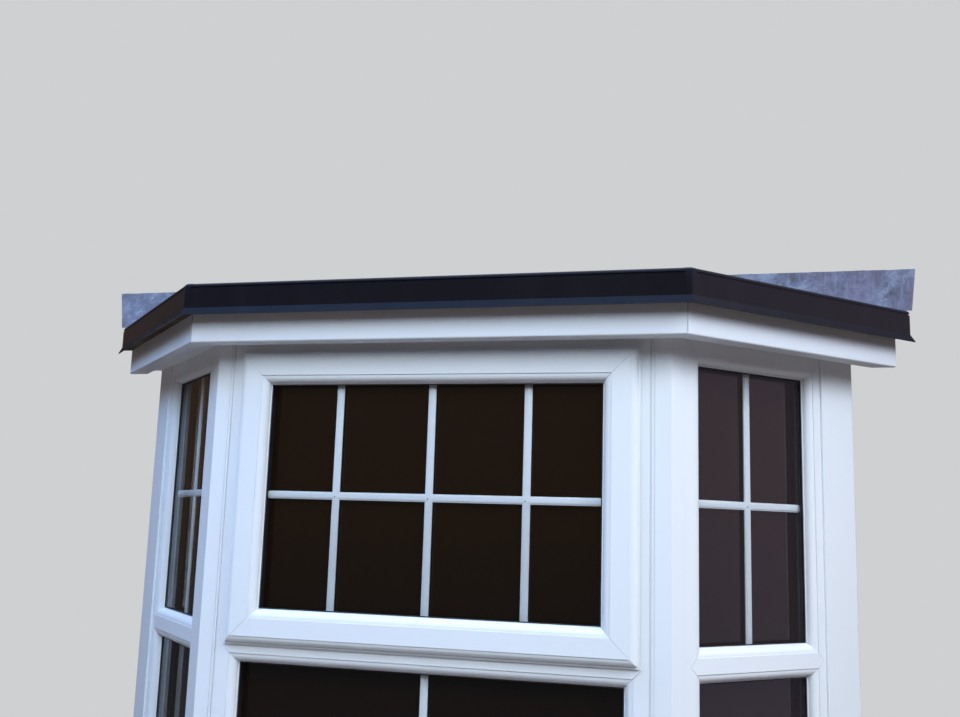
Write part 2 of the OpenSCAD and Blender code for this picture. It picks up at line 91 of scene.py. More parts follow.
@dataclass(frozen=True)
class BayPlan:
    """Lines of the bay in plan, all measured out from the faces of the window frames.

    Attributes:
        corner_x: Half width of the front facet at the frame faces.
        face_y: Place of the front frame's face.
        wall_y: Place of the house wall's face.
        cant: Turn of a side facet away from the front.
    """

    corner_x: float
    face_y: float
    wall_y: float
    cant: float = math.radians(45)

    @classmethod
    def read(cls) -> "BayPlan":
        """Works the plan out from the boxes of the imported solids.

        Returns:
            The plan of this bay.
        """
        wall_low, wall_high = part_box("dwarf_wall_front")
        frame_low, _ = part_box("front_frame_rails")
        proud = frame_low.y - wall_low.y
        corner_x = wall_high.x - proud * math.tan(cls.cant / 2)
        return cls(corner_x, frame_low.y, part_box("ledger")[1].y)

    def corner(self, out: float) -> Point:
        """Gives the right-hand corner of the line that lies `out` outside the frame faces."""
        return self.corner_x + out * math.tan(self.cant / 2), self.face_y - out

    def wall_end(self, out: float) -> float:
        """Gives the x at which the right-hand line `out` outside the frames meets the wall."""
        depth = self.wall_y - self.face_y
        return self.corner_x + depth / math.tan(self.cant) + out / math.sin(self.cant)

    def length(self, facet: Facet, out: float) -> float:
        """Gives the length of a facet on the line `out` outside the frame faces."""
        x, y = self.corner(out)
        return 2 * x if facet is Facet.FRONT else (self.wall_y - y) / math.sin(self.cant)

    def matrix(self, facet: Facet, out: float) -> Matrix:
        """Places a piece drawn flat on a facet.

        Args:
            facet: The facet that the piece belongs to.
            out: Distance of the piece's own zero line outside the frame faces.

        Returns:
            A matrix that takes x along the facet from its left end, y inwards and z up to the
            part's own frame.
        """
        x, y = self.corner(out)
        c, s = math.cos(self.cant), math.sin(self.cant)
        if facet is Facet.FRONT:
            start, along = (-x, y), (1.0, 0.0)
        elif facet is Facet.RIGHT:
            start, along = (x, y), (c, s)
        else:
            start, along = (-self.wall_end(out), self.wall_y), (c, -s)
        first = (along[0], -along[1], 0, start[0])
        second = (along[1], along[0], 0, start[1])
        return Matrix((first, second, (0, 0, 1, 0), (0, 0, 0, 1)))

    def mitres(self, facet: Facet, out: float) -> Iterator[tuple[Vector, Vector]]:
        """Gives the planes that part a facet from the next ones.

        Args:
            facet: The facet.
            out: Distance of its line outside the frame faces.

        Yields:
            A point of each plane and its normal, which points away from the facet.
        """
        x, y = self.corner(out)
        half = self.cant / 2
        for side in (-1, 1):
            point = Vector((side * x, y, 0))
            normal = Vector((side * math.cos(half), math.sin(half), 0))
            if facet is Facet.FRONT:
                yield point, normal
            elif (facet is Facet.RIGHT) == (side == 1):
                yield point, -normal


# ---------------------------------------------------------------- bench work


class Bench:
    """Modelling steps that every sub-assembly uses."""

    @staticmethod
    def clear() -> None:
        """Deselects everything, so that the next step acts on its own piece alone."""
        bpy.ops.object.select_all(action="DESELECT")

    @staticmethod
    def pick(*pieces: Piece) -> None:
        """Selects pieces alone and makes the last one active.

        Args:
            pieces: The pieces.
        """
        Bench.clear()
        for piece in pieces:
            piece.select_set(True)
        bpy.context.view_layer.objects.active = pieces[-1]

    @staticmethod
    @contextmanager
    def editing(piece: Piece, whole: bool = True) -> Iterator[None]:
        """Opens a piece in edit mode and closes it again.

        Args:
            piece: The piece.
            whole: Selects all of it, in place of what was chosen before.

        Yields:
            Nothing, while the piece is open.
        """
        Bench.pick(piece)
        bpy.ops.object.mode_set(mode="EDIT")
        if whole:
            bpy.ops.mesh.select_all(action="SELECT")
        yield
        bpy.ops.object.mode_set(mode="OBJECT")

    @staticmethod
    def choose(piece: Piece, test: Callable[[bpy.types.MeshPolygon], bool]) -> None:
        """Selects those faces of a piece that pass a test.

        Args:
            piece: The piece.
            test: Tells for a face whether to select it.
        """
        with Bench.editing(piece):
            bpy.ops.mesh.select_all(action="DESELECT")
        for face in piece.data.polygons:
            face.select = test(face)

    @staticmethod
    def named(name: str) -> Piece:
        """Names the active piece, which is the one that was added or joined last.

        Args:
            name: Its new name.

        Returns:
            The piece.
        """
        piece = bpy.context.object
        piece.name = piece.data.name = name
        return piece

    @staticmethod
    def block(name: str, low: Sequence[float], high: Sequence[float]) -> Piece:
        """Adds a plain block between two corners.

        Args:
            name: Name of the new object.
            low: Lowest corner.
            high: Highest corner.

        Returns:
            The block, with its place and size in its mesh.
        """
        Bench.clear()
        bpy.ops.mesh.primitive_cube_add(size=1)
        block = Bench.named(name)
        size = [b - a for a, b in zip(low, high)]
        centre = [(a + b) / 2 for a, b in zip(low, high)]
        block.data.transform(Matrix.Translation(centre) @ Matrix.Diagonal((*size, 1)))
        return block

    @staticmethod
    def cut(
        piece: Piece, point: Sequence[float], normal: Sequence[float], clear: bool = False
    ) -> None:
        """Cuts a piece with a plane.

        Args:
            piece: The piece to cut.
            point: A point on the plane.
            normal: The plane's normal.
            clear: Takes off what lies beyond the plane and closes the cut.
        """
        with Bench.editing(piece):
            bpy.ops.mesh.bisect(
                plane_co=point, plane_no=normal, clear_outer=clear, use_fill=clear, threshold=1e-6
            )

    @staticmethod
    def dice(piece: Piece, steps: Sequence[float]) -> None:
        """Cuts a piece into a grid of faces.

        Args:
            piece: The piece.
            steps: About how wide the faces are along X, Y and Z, or 0 for no cuts.
        """
        for axis, step in enumerate(steps):
            if not step:
                continue
            values = [v.co[axis] for v in piece.data.vertices]
            low, high = min(values), max(values)
            count = round((high - low) / step)
            normal = [float(axis == i) for i in range(3)]
            for i in range(1, count):
                Bench.cut(piece, [n * (low + (high - low) * i / count) for n in normal], normal)

    @staticmethod
    def apply(piece: Piece, kind: str, **settings: object) -> None:
        """Adds a modifier to a piece and applies it.

        Args:
            piece: The piece.
            kind: Kind of modifier.
            settings: Properties of the modifier.
        """
        Bench.pick(piece)
        modifier = piece.modifiers.new(kind.lower(), kind)
        for key, value in settings.items():
            setattr(modifier, key, value)
        bpy.ops.object.modifier_apply(modifier=modifier.name)

    @staticmethod
    def ease(piece: Piece, width: float, segments: int = 2) -> None:
        """Rounds every edge of a piece that turns by more than 30 degrees."""
        limit = {"limit_method": "ANGLE", "angle_limit": math.radians(30)}
        Bench.apply(piece, "BEVEL", width=width, segments=segments, **limit)

    @staticmethod
    def copy(master: Piece, place: Matrix) -> Piece:
        """Copies a piece with its own mesh.

        Args:
            master: The piece to copy.
            place: Where the copy's mesh goes.

        Returns:
            The copy.
        """
        twin = master.copy()
        twin.data = master.data.copy()
        bpy.context.scene.collection.objects.link(twin)
        twin.data.transform(place)
        return twin

    @staticmethod
    def drop(*pieces: Piece) -> None:
        """Deletes pieces that were only patterns for others."""
        for piece in pieces:
            bpy.data.objects.remove(piece, do_unlink=True)

    @staticmethod
    def join(pieces: Sequence[Piece], name: str) -> Piece:
        """Joins pieces to one object.

        Args:
            pieces: The pieces, of which the last one gives the place.
            name: Name of the joined object.

        Returns:
            The joined object.
        """
        Bench.pick(*pieces)
        if len(pieces) > 1:
            bpy.ops.object.join()
        return Bench.named(name)

    @staticmethod
    def outwards(piece: Piece) -> None:
        """Turns every face of a piece outwards."""
        with Bench.editing(piece):
            bpy.ops.mesh.normals_make_consistent(inside=False)

    @staticmethod
    def soften(piece: Piece, angle: float) -> None:
        """Shades a piece smooth across edges flatter than `angle` degrees."""
        Bench.pick(piece)
        bpy.ops.object.shade_smooth_by_angle(angle=math.radians(angle))

    @staticmethod
    def warp(piece: Piece, shift: Callable[[Vector], Vector]) -> None:
        """Moves the points of a piece.

        Args:
            piece: The piece.
            shift: Gives for a point how far it moves.
        """
        for vertex in piece.data.vertices:
            vertex.co += shift(vertex.co)
        piece.data.update()

    @staticmethod
    def tag(piece: Piece, name: str, value: float) -> None:
        """Writes one number on every point of a piece, for its material to read."""
        layer = piece.data.attributes.new(name, "FLOAT", "POINT")
        layer.data.foreach_set("value", [value] * len(piece.data.vertices))

    @staticmethod
    def hand_over(
        piece: Piece, finish: Material, slot: str, stands_for: Iterable[str] = ()
    ) -> None:
        """Gives a finished piece its material and its place in the part.

        Args:
            piece: The piece.
            finish: Its material.
            slot: Name of the record's material slot for the piece; not used.
            stands_for: Nodes of the frame that it stands for.
        """
        piece.data.materials.clear()
        piece.data.materials.append(finish)
        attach(piece, "root")
        if stands_for:
            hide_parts(*stands_for)
        log.info("%s: %d faces", piece.name, len(piece.data.polygons))


def ripple(place: Vector, scale: float, amount: float, seed: float = 0.0) -> Vector:
    """Gives a smooth pseudo-random shift that depends only on the place.

    Args:
        place: The point that moves.
        scale: Width of one wave.
        amount: Largest shift.
        seed: Shifts the pattern.

    Returns:
        The shift of that point.
    """
    return amount * noise.noise_vector(place / scale + Vector((seed, 7.1 * seed, -3.3 * seed)))


# ---------------------------------------------------------------- finishes


class NodeBench:
    """A node tree under construction, with a few short ways to add to it."""

    FIRST, SECOND, MIXED = 6, 7, 2  # the colour sockets of a Mix node

    def __init__(self, owner: Material | bpy.types.World) -> None:
        """Empties the node tree of a material or world.

        Args:
            owner: The material or world.
        """
        owner.use_nodes = True
        self.tree = owner.node_tree
        self.tree.nodes.clear()

    def add(
        self, kind: str, inputs: dict[str | int, object] | None = None, **settings: object
    ) -> bpy.types.Node:
        """Adds a node.

        Args:
            kind: Kind of node.
            inputs: Output, number or colour for inputs, by their names or positions.
            settings: Properties of the node.

        Returns:
            The node.
        """
        node = self.tree.nodes.new(kind)
        for key, value in settings.items():
            setattr(node, key, value)
        for key, value in (inputs or {}).items():
            self.put(node.inputs[key], value)
        return node

    def put(self, socket: Socket, value: object) -> None:
        """Links an input to an output, or sets its number or its opaque colour.

        Args:
            socket: The input.
            value: The output, number or colour.
        """
        if isinstance(value, Socket):
            self.tree.links.new(value, socket)
        else:
            socket.default_value = (*value, 1) if socket.type == "RGBA" else value

    def ramp(self, value: Socket, *stops: tuple[float, Colour | float]) -> Socket:
        """Turns a value into a colour or a grey.

        Args:
            value: The value.
            stops: Positions along the ramp and their colours or greys.

        Returns:
            The colour.
        """
        node = self.add("ShaderNodeValToRGB", {"Fac": value})
        elements = node.color_ramp.elements
        while len(elements) < len(stops):
            elements.new(0.5)
        for element, (position, tone) in zip(elements, stops):
            element.position = position
            element.color = (*tone, 1) if isinstance(tone, tuple) else (tone, tone, tone, 1)
        return node.outputs["Color"]

    def mix(self, amount: object, first: object, second: object, blend: str = "MIX") -> Socket:
        """Gives a mix of two colours.

        Args:
            amount: Share of the second colour.
            first: The first colour or an output that gives it.
            second: The second colour or an output that gives it.
            blend: Name of the way to mix.

        Returns:
            The mixed colour.
        """
        inputs = {"Factor": amount, self.FIRST: first, self.SECOND: second}
        node = self.add("ShaderNodeMix", inputs, data_type="RGBA", blend_type=blend)
        return node.outputs[self.MIXED]

    def parts(self, vector: Socket) -> bpy.types.NodeOutputs:
        """Splits a vector into outputs named X, Y and Z."""
        return self.add("ShaderNodeSeparateXYZ", {"Vector": vector}).outputs


class Recipe(NodeBench):
    """A material under construction."""

    def __init__(self, name: str) -> None:
        """Starts a material with one surface shader.

        Args:
            name: Name of the material.
        """
        self.material = bpy.data.materials.new(name)
        super().__init__(self.material)
        self.shader = self.add("ShaderNodeBsdfPrincipled")
        self.add("ShaderNodeOutputMaterial", {"Surface": self.shader.outputs[0]})
        self.place = self.add("ShaderNodeTexCoord").outputs["Object"]

    def mapped(self, scale: Sequence[float], turn: Sequence[float] = (0, 0, 0)) -> Socket:
        """Gives the place on the piece, first turned and then stretched.

        Args:
            scale: Stretch along X, Y and Z.
            turn: Turn about X, Y and Z.

        Returns:
            The new place.
        """
        place = self.place
        for key, value in (("Rotation", turn), ("Scale", scale)):
            place = self.add("ShaderNodeMapping", {"Vector": place, key: value}).outputs[0]
        return place

    def noise(
        self,
        scale: float,
        detail: float = 3.0,
        roughness: float = 0.5,
        place: Socket | None = None,
        warp: float = 0.0,
    ) -> Socket:
        """Gives a cloudy pattern between 0 and 1.

        Args:
            scale: Patches per metre.
            detail: Number of finer layers.
            roughness: Weight of the finer layers.
            place: Place to read it at.
            warp: Distortion of the pattern.

        Returns:
            The pattern's value.
        """
        inputs = {"Scale": scale, "Detail": detail, "Roughness": roughness, "Distortion": warp}
        inputs["Vector"] = place or self.place
        return self.add("ShaderNodeTexNoise", inputs).outputs["Fac"]

    def cells(self, scale: float, place: Socket | None = None) -> bpy.types.NodeOutputs:
        """Gives the outputs of a pattern of random cells, `scale` of them in a metre."""
        inputs = {"Vector": place or self.place, "Scale": scale}
        return self.add("ShaderNodeTexVoronoi", inputs).outputs

    def maths(self, operation: str, *values: object, clamp: bool = False) -> Socket:
        """Gives a sum, product or other operation on two or three values."""
        inputs = dict(enumerate(values))
        return self.add("ShaderNodeMath", inputs, operation=operation, use_clamp=clamp).outputs[0]

    def bump(
        self, height: Socket, distance: float, strength: float = 1.0, base: Socket | None = None
    ) -> Socket:
        """Gives a normal that makes a pattern stand out.

        Args:
            height: The pattern.
            distance: Distance that its highest places stand out.
            strength: Share of the effect.
            base: Normal that it starts from.

        Returns:
            The normal.
        """
        inputs = {"Distance": distance, "Strength": strength, "Height": height}
        if base:
            inputs["Normal"] = base
        return self.add("ShaderNodeBump", inputs).outputs["Normal"]

    def rounded(self, radius: float) -> Socket:
        """Gives a normal that eases every edge of a piece by a radius."""
        return self.add("ShaderNodeBevel", {"Radius": radius}, samples=4).outputs["Normal"]

    def finish(self, sockets: dict[str, object]) -> Material:
        """Completes the material.

        Args:
            sockets: Output, number or colour for the shader's inputs, by their names.

        Returns:
            The material.
        """
        for key, value in sockets.items():
            self.put(self.shader.inputs[key], value)
        return self.material


@dataclass(frozen=True)
class Finish:
    """The look of one material.

    Attributes:
        name: Name of the material.
    """

    name: str

    def build(self) -> Material:
        """Makes the material, each kind of finish in its own way."""
        raise NotImplementedError


@dataclass(frozen=True)
class PlasticFinish(Finish):
    """Smooth extruded plastic with street dust in its recesses.

    Attributes:
        colour: Colour of the clean plastic.
        dust: Colour of the dust, also laid in the recesses as painted shade.
        dust_and_shade_share: Share of dust and painted shade in the deepest recesses.
        edge: Radius of the eased edges.
        recess: Depth of the recesses that are darkened with dust and painted shade.
    """

    colour: Colour = (0.84, 0.86, 0.88)
    dust: Colour = (0.36, 0.33, 0.31)
    dust_and_shade_share: float = 0.18
    edge: float = 0.9 * MM
    recess: float = 20 * MM

    def build(self) -> Material:
        """Makes the material.

        Returns:
            The material.
        """
        r = Recipe(self.name)
        # Ambient occlusion darkens the recesses: painted shade, mixed in patches with the dust
        # colour.
        shelter = r.add("ShaderNodeAmbientOcclusion", {"Distance": self.recess}, samples=6)
        shaded_recess = r.ramp(shelter.outputs["AO"], (0.25, 1.0), (0.7, 0.0))
        patches = r.ramp(r.noise(5, 2), (0.3, 0.35), (0.75, 1.0))
        film = r.ramp(r.noise(2.3, place=r.mapped((1, 1, 0.25))), (0.35, 0.0), (0.8, 0.012))
        # dirt carries the painted shade of the recesses together with the faint dust film.
        dust_and_shade = r.maths("MULTIPLY", r.maths("MULTIPLY", shaded_recess, patches), self.dust_and_shade_share)
        dust_and_shade = r.maths("ADD", dust_and_shade, film, clamp=True)
        faded = tuple(0.97 * c for c in self.colour)
        tint = r.ramp(r.noise(1.1, 2), (0.3, faded), (0.7, self.colour))
        return r.finish({
            "Base Color": r.mix(dust_and_shade, tint, self.dust),
            "Roughness": r.ramp(r.noise(12), (0.3, 0.29), (0.7, 0.34)),
            "Normal": r.bump(r.noise(30, 1), 0.02 * MM, 0.25, r.rounded(self.edge)),
            "Specular IOR Level": 0.5,
        })


@dataclass(frozen=True)
class BrickFinish(Finish):
    """Old fired clay brick whose colour changes from one brick to the next.

    Attributes:
        tones: Colours of the clay, from the darkest brick to the palest.
        soot: Colour of soot and burnt patches.
        bloom: Colour of the pale bloom.
    """

    tones: tuple[Colour, ...] = (
        (0.075, 0.035, 0.030),
        (0.17, 0.055, 0.035),
        (0.27, 0.085, 0.045),
        (0.36, 0.13, 0.065),
        (0.48, 0.20, 0.095),
        (0.38, 0.19, 0.14),
    )
    soot: Colour = (0.030, 0.022, 0.020)
    bloom: Colour = (0.55, 0.45, 0.38)

    def build(self) -> Material:
        """Makes the material.

        Returns:
            The material.
        """
        r = Recipe(self.name)
        tone = r.add("ShaderNodeAttribute", attribute_name="tone").outputs["Fac"]
        cloud = r.maths("SUBTRACT", r.noise(22, 4, 0.6), 0.5)
        drift = r.maths("ADD", tone, r.maths("MULTIPLY", cloud, 0.5))
        last = len(self.tones) - 1
        body = r.ramp(drift, *((i / last, c) for i, c in enumerate(self.tones)))
        burnt = r.ramp(r.noise(13, 5, 0.65, warp=0.6), (0.52, 0.0), (0.72, 0.75))
        body = r.mix(burnt, body, self.soot)
        pale = r.ramp(r.noise(31, 5, 0.7, warp=0.4), (0.58, 0.0), (0.78, 0.5))
        body = r.mix(pale, body, self.bloom)
        grit = r.ramp(r.cells(900)["Distance"], (0.0, 0.35), (0.35, 0.0))
        pits = r.ramp(r.noise(240, 4, 0.7), (0.30, 0.0), (0.48, 1.0))
        relief = r.bump(r.noise(60, 6, 0.65), 1.1 * MM, 0.8)
        return r.finish({
            "Base Color": r.mix(grit, body, self.soot, "MULTIPLY"),
            "Roughness": r.ramp(r.noise(45), (0.3, 0.78), (0.7, 0.95)),
            "Normal": r.bump(pits, 0.6 * MM, 0.7, relief),
            "Specular IOR Level": 0.25,
        })


@dataclass(frozen=True)
class MortarFinish(Finish):
    """Weathered sandy mortar.

    Attributes:
        colour: Colour of the mortar.
        stain: Colour of its dark stains.
    """

    colour: Colour = (0.27, 0.21, 0.18)
    stain: Colour = (0.11, 0.085, 0.075)

    def build(self) -> Material:
        """Makes the material.

        Returns:
            The material.
        """
        r = Recipe(self.name)
        body = r.ramp(r.noise(14, 6, 0.65), (0.3, self.stain), (0.7, self.colour))
        sand = r.ramp(r.cells(1400)["Distance"], (0.05, 0.6), (0.4, 1.0))
        return r.finish({
            "Base Color": r.mix(0.8, body, sand, "MULTIPLY"),
            "Roughness": 0.93,
            "Normal": r.bump(r.noise(420, 5, 0.75), 0.9 * MM, 0.9),
            "Specular IOR Level": 0.2,
        })


@dataclass(frozen=True)
class GlassFinish(Finish):
    """Sealed unit: a clear outer pane in front of a mirroring inner pane, dark and nearly opaque
    as painted shade of the room behind.

    Attributes:
        inwards: Direction from the outer to the inner pane.
        middle: Place of the cavity's middle along that direction.
        clear: Tint of what the outer pane mirrors.
        painted_room_shade: Colour of the inner pane, painted shade of the room behind.
        cover: Share of what lies behind that the inner pane hides.
        sheen: Share of it that the outer pane hides, seen straight on.
        glance: Share that it hides besides, seen along the pane.
    """

    inwards: Vector
    middle: float
    clear: Colour = (0.80, 0.86, 0.90)
    painted_room_shade: Colour = (0.0075, 0.0035, 0.0015)
    cover: float = 0.955
    sheen: float = 0.03
    glance: float = 0.5

    def build(self) -> Material:
        """Makes the material.

        Returns:
            The material.
        """
        r = Recipe(self.name)
        inputs = {0: r.place, 1: self.inwards}
        depth = r.add("ShaderNodeVectorMath", inputs, operation="DOT_PRODUCT").outputs["Value"]
        # The inner pane is coloured dark and nearly opaque: painted shade of the room behind the
        # glass.
        inner = r.maths("GREATER_THAN", depth, self.middle)
        steep = r.maths("POWER", r.add("ShaderNodeLayerWeight").outputs["Facing"], 4.0)
        sheen = r.maths("ADD", self.sheen, r.maths("MULTIPLY", steep, self.glance), clamp=True)
        smear = r.noise(3, 5, 0.6, r.mapped((1, 1, 2.2)), warp=0.8)
        r.material.surface_render_method = "BLENDED"
        return r.finish({
            "Base Color": r.mix(inner, self.clear, self.painted_room_shade),
            "Metallic": r.maths("SUBTRACT", 1.0, inner),
            "Alpha": r.maths("MAXIMUM", sheen, r.maths("MULTIPLY", inner, self.cover)),
            "Roughness": r.ramp(smear, (0.45, 0.015), (0.8, 0.05)),
            "IOR": 1.52,
            "Specular IOR Level": 0.62,
        })


@dataclass(frozen=True)
class RubberFinish(Finish):
    """Matt black gasket rubber.

    Attributes:
        colour: Colour of the clean rubber.
        dust: Colour of the dust on it.
    """

    colour: Colour = (0.014, 0.014, 0.015)
    dust: Colour = (0.07, 0.065, 0.06)

    def build(self) -> Material:
        """Makes the material.

        Returns:
            The material.
        """
        r = Recipe(self.name)
        return r.finish({
            "Base Color": r.ramp(r.noise(35, 4), (0.4, self.colour), (0.9, self.dust)),
            "Roughness": 0.62,
            "Normal": r.bump(r.noise(500, 2), 0.05 * MM, 0.5),
        })


@dataclass(frozen=True)
class SpacerFinish(Finish):
    """Dark bronze metal of the spacer bars, worn paler in places.

    Attributes:
        colour: Colour of the metal.
        worn: Brightness of the worn places, as a share of the rest.
    """

    colour: Colour = (0.035, 0.033, 0.032)
    worn: float = 1.7

    def build(self) -> Material:
        """Makes the material.

        Returns:
            The material.
        """
        r = Recipe(self.name)
        worn = tuple(self.worn * c for c in self.colour)
        return r.finish({
            "Base Color": r.ramp(r.noise(90), (0.3, self.colour), (0.8, worn)),
            "Metallic": 0.4,
            "Roughness": 0.45,
        })


@dataclass(frozen=True)
class ResinFinish(Finish):
    """Dark glass-fibre resin: dull on the roof, glossy on its pressed trims.

    Attributes:
        colour: Colour of the resin.
        gloss: Lowest roughness of the surface.
        strand: Height of the fibres that show through.
        dust: Share of pale dust in the streaks.
        streak: Colour of that dust.
        painted_sky_light: Colour of the painted sky light on upward-facing places.
    """

    colour: Colour = (0.0075, 0.0075, 0.011)
    gloss: float = 0.10
    strand: float = 0.02 * MM
    dust: float = 0.012
    streak: Colour = (0.30, 0.28, 0.27)
    painted_sky_light: Colour = (0.24, 0.25, 0.30)

    def build(self) -> Material:
        """Makes the material.

        Returns:
            The material.
        """
        r = Recipe(self.name)
        fibres = r.noise(120, 3, 0.6, r.mapped((1, 0.18, 1), (0, 0, 0.7)), warp=2.0)
        runs = r.ramp(r.noise(16, 5, 0.65, r.mapped((1, 1, 0.12))), (0.45, 0.0), (0.8, self.dust))
        body = r.mix(runs, self.colour, self.streak)
        slope = r.parts(r.add("ShaderNodeNewGeometry").outputs["Normal"])["Z"]
        # Upward-facing places are coloured lighter and bluer: painted sky light.
        level = r.ramp(slope, (0.5, 0.0), (0.95, 0.12))
        dulled = r.ramp(slope, (0.25, 0.0), (0.42, 0.24))
        polish = r.ramp(r.noise(25, 5, 0.6), (0.3, self.gloss), (0.75, self.gloss + 0.1))
        return r.finish({
            "Base Color": r.mix(level, body, self.painted_sky_light),
            "Roughness": r.maths("ADD", polish, dulled, clamp=True),
            "Normal": r.bump(fibres, self.strand, 0.8, r.bump(r.noise(7), 0.5 * MM, 0.35)),
            "Specular IOR Level": 0.5,
        })


@dataclass(frozen=True)
class LeadFinish(Finish):
    """Sheet lead with a blue-grey patina, white bloom and dull scuffs, painted lighter towards its
    left end.

    Attributes:
        body: Colour of the patina.
        bloom: Colour of its pale clouds and of upright streaks.
        stain: Colour of its dark clouds.
        violet: Colour of its violet patches.
        scuff: Colour of the level scuffs.
        painted_left_light: Colour that lightens the sheets towards the left end, as painted light.
        mark: Colour of the marks there.
        speck: Colour of the specks there.
    """

    body: Colour = (0.155, 0.175, 0.265)
    bloom: Colour = (0.35, 0.40, 0.55)
    stain: Colour = (0.080, 0.068, 0.095)
    violet: Colour = (0.22, 0.18, 0.29)
    scuff: Colour = (0.11, 0.10, 0.15)
    painted_left_light: Colour = (0.52, 0.56, 0.66)
    mark: Colour = (0.66, 0.74, 0.90)
    speck: Colour = (0.75, 0.80, 0.90)

    def build(self) -> Material:
        """Makes the material.

        Returns:
            The material.
        """
        r = Recipe(self.name)
        cloud = r.noise(17, 9, 0.78, warp=0.25)
        skin = r.ramp(cloud, (0.38, self.stain), (0.48, self.body), (0.60, self.bloom))
        patches = r.ramp(r.noise(7), (0.45, 0.0), (0.6, 0.5))
        skin = r.mix(patches, skin, self.violet)
        upright = r.ramp(r.noise(90, 4, 0.7, r.mapped((1, 1, 0.12))), (0.5, 0.0), (0.75, 0.6))
        skin = r.mix(upright, skin, self.bloom)
        level = r.ramp(r.noise(150, 3, 0.7, r.mapped((0.12, 1, 1))), (0.55, 0.0), (0.8, 0.6))
        skin = r.mix(level, skin, self.scuff)
        # Painted light: the sheets are lightened towards the left end, where the marks and specks
        # also gather.
        leftwards = r.maths("MULTIPLY_ADD", r.parts(r.place)["X"], -0.5, 0.5)
        painted_light_and_marks = r.ramp(leftwards, (0.0, 0.25), (1.0, 1.0))
        marks = r.ramp(r.noise(55, 6, 0.8), (0.56, 0.0), (0.66, 0.75))
        specks = r.ramp(r.cells(170)["Distance"], (0.0, 1.0), (0.2, 0.0))
        for share, colour in ((0.3, self.painted_left_light), (marks, self.mark), (specks, self.speck)):
            skin = r.mix(r.maths("MULTIPLY", share, painted_light_and_marks), skin, colour)
        dents = r.bump(r.noise(38), 1.2 * MM, 0.5)
        return r.finish({
            "Base Color": skin,
            "Metallic": 0.25,
            "Roughness": r.ramp(cloud, (0.3, 0.42), (0.7, 0.72)),
            "Normal": r.bump(r.noise(260, 4, 0.6), 0.15 * MM, 0.6, dents),
        })


@dataclass(frozen=True)
class TimberFinish(Finish):
    """Sawn softwood with growth rings and knots.

    Attributes:
        grain: Direction of the fibres.
        pale: Colour of the early wood.
        dark: Colour of the late wood.
        knot: Colour of the knots.
    """

    grain: Grain = Grain.ALONG_X
    pale: Colour = (0.56, 0.40, 0.23)
    dark: Colour = (0.36, 0.21, 0.10)
    knot: Colour = (0.12, 0.055, 0.025)

    def build(self) -> Material:
        """Makes the material.

        Returns:
            The material.
        """
        r = Recipe(self.name)
        along = r.mapped((0.09, 1, 1), self.grain.value)
        inputs = {"Vector": along, "Scale": 34, "Distortion": 6, "Detail": 3, "Detail Scale": 1.6}
        rings = r.add("ShaderNodeTexWave", inputs, wave_type="RINGS", rings_direction="X")
        wood = r.ramp(rings.outputs["Fac"], (0.1, self.pale), (0.85, self.dark))
        fibre = r.noise(190, 4, 0.7, along)
        wood = r.mix(r.ramp(fibre, (0.35, 0.0), (0.8, 0.35)), wood, self.dark)
        spots = r.cells(3.2, r.mapped((0.5, 1.6, 1.6), self.grain.value))
        knots = r.ramp(spots["Distance"], (0.05, 0.8), (0.13, 0.0))
        return r.finish({
            "Base Color": r.mix(knots, wood, self.knot),
            "Roughness": r.ramp(fibre, (0.3, 0.6), (0.7, 0.82)),
            "Normal": r.bump(fibre, 0.35 * MM, 0.8),
            "Specular IOR Level": 0.3,
        })


@dataclass(frozen=True)
class StrandBoardFinish(Finish):
    """Pressed board of wood strands laid every way.

    Attributes:
        tones: Colours of the strands.
        fibre: Colour of the fibres along them.
    """

    tones: Stops = (
        (0.1, (0.33, 0.20, 0.10)),
        (0.5, (0.52, 0.36, 0.19)),
        (0.9, (0.66, 0.50, 0.29)),
    )
    fibre: Colour = (0.25, 0.14, 0.07)

    def build(self) -> Material:
        """Makes the material.

        Returns:
            The material.
        """
        r = Recipe(self.name)
        askew = (0, 0, 0.5)
        strands = r.cells(30, r.mapped((1, 2.6, 2.6), askew))
        split = r.add("ShaderNodeSeparateColor", {"Color": strands["Color"]})
        chips = r.ramp(split.outputs[0], *self.tones)
        fibres = r.noise(260, 4, 0.7, r.mapped((0.2, 1, 1), askew))
        return r.finish({
            "Base Color": r.mix(r.ramp(fibres, (0.4, 0.0), (0.8, 0.3)), chips, self.fibre),
            "Roughness": 0.7,
            "Normal": r.bump(strands["Distance"], 0.5 * MM, 0.7),
        })


@dataclass(frozen=True)
class PaintFinish(Finish):
    """Brush-painted white board.

    Attributes:
        colour: Colour of the paint.
        scuff: Colour of the scuffed places.
    """

    colour: Colour = (0.80, 0.79, 0.76)
    scuff: Colour = (0.45, 0.42, 0.38)

    def build(self) -> Material:
        """Makes the material.

        Returns:
            The material.
        """
        r = Recipe(self.name)
        strokes = r.noise(150, place=r.mapped((0.08, 1, 1)))
        scuffs = r.ramp(r.noise(12, 5, 0.6), (0.55, 0.0), (0.85, 0.18))
        return r.finish({
            "Base Color": r.mix(scuffs, self.colour, self.scuff),
            "Roughness": r.ramp(strokes, (0.3, 0.32), (0.7, 0.46)),
            "Normal": r.bump(strokes, 0.06 * MM, 0.7, r.rounded(2 * MM)),
        })


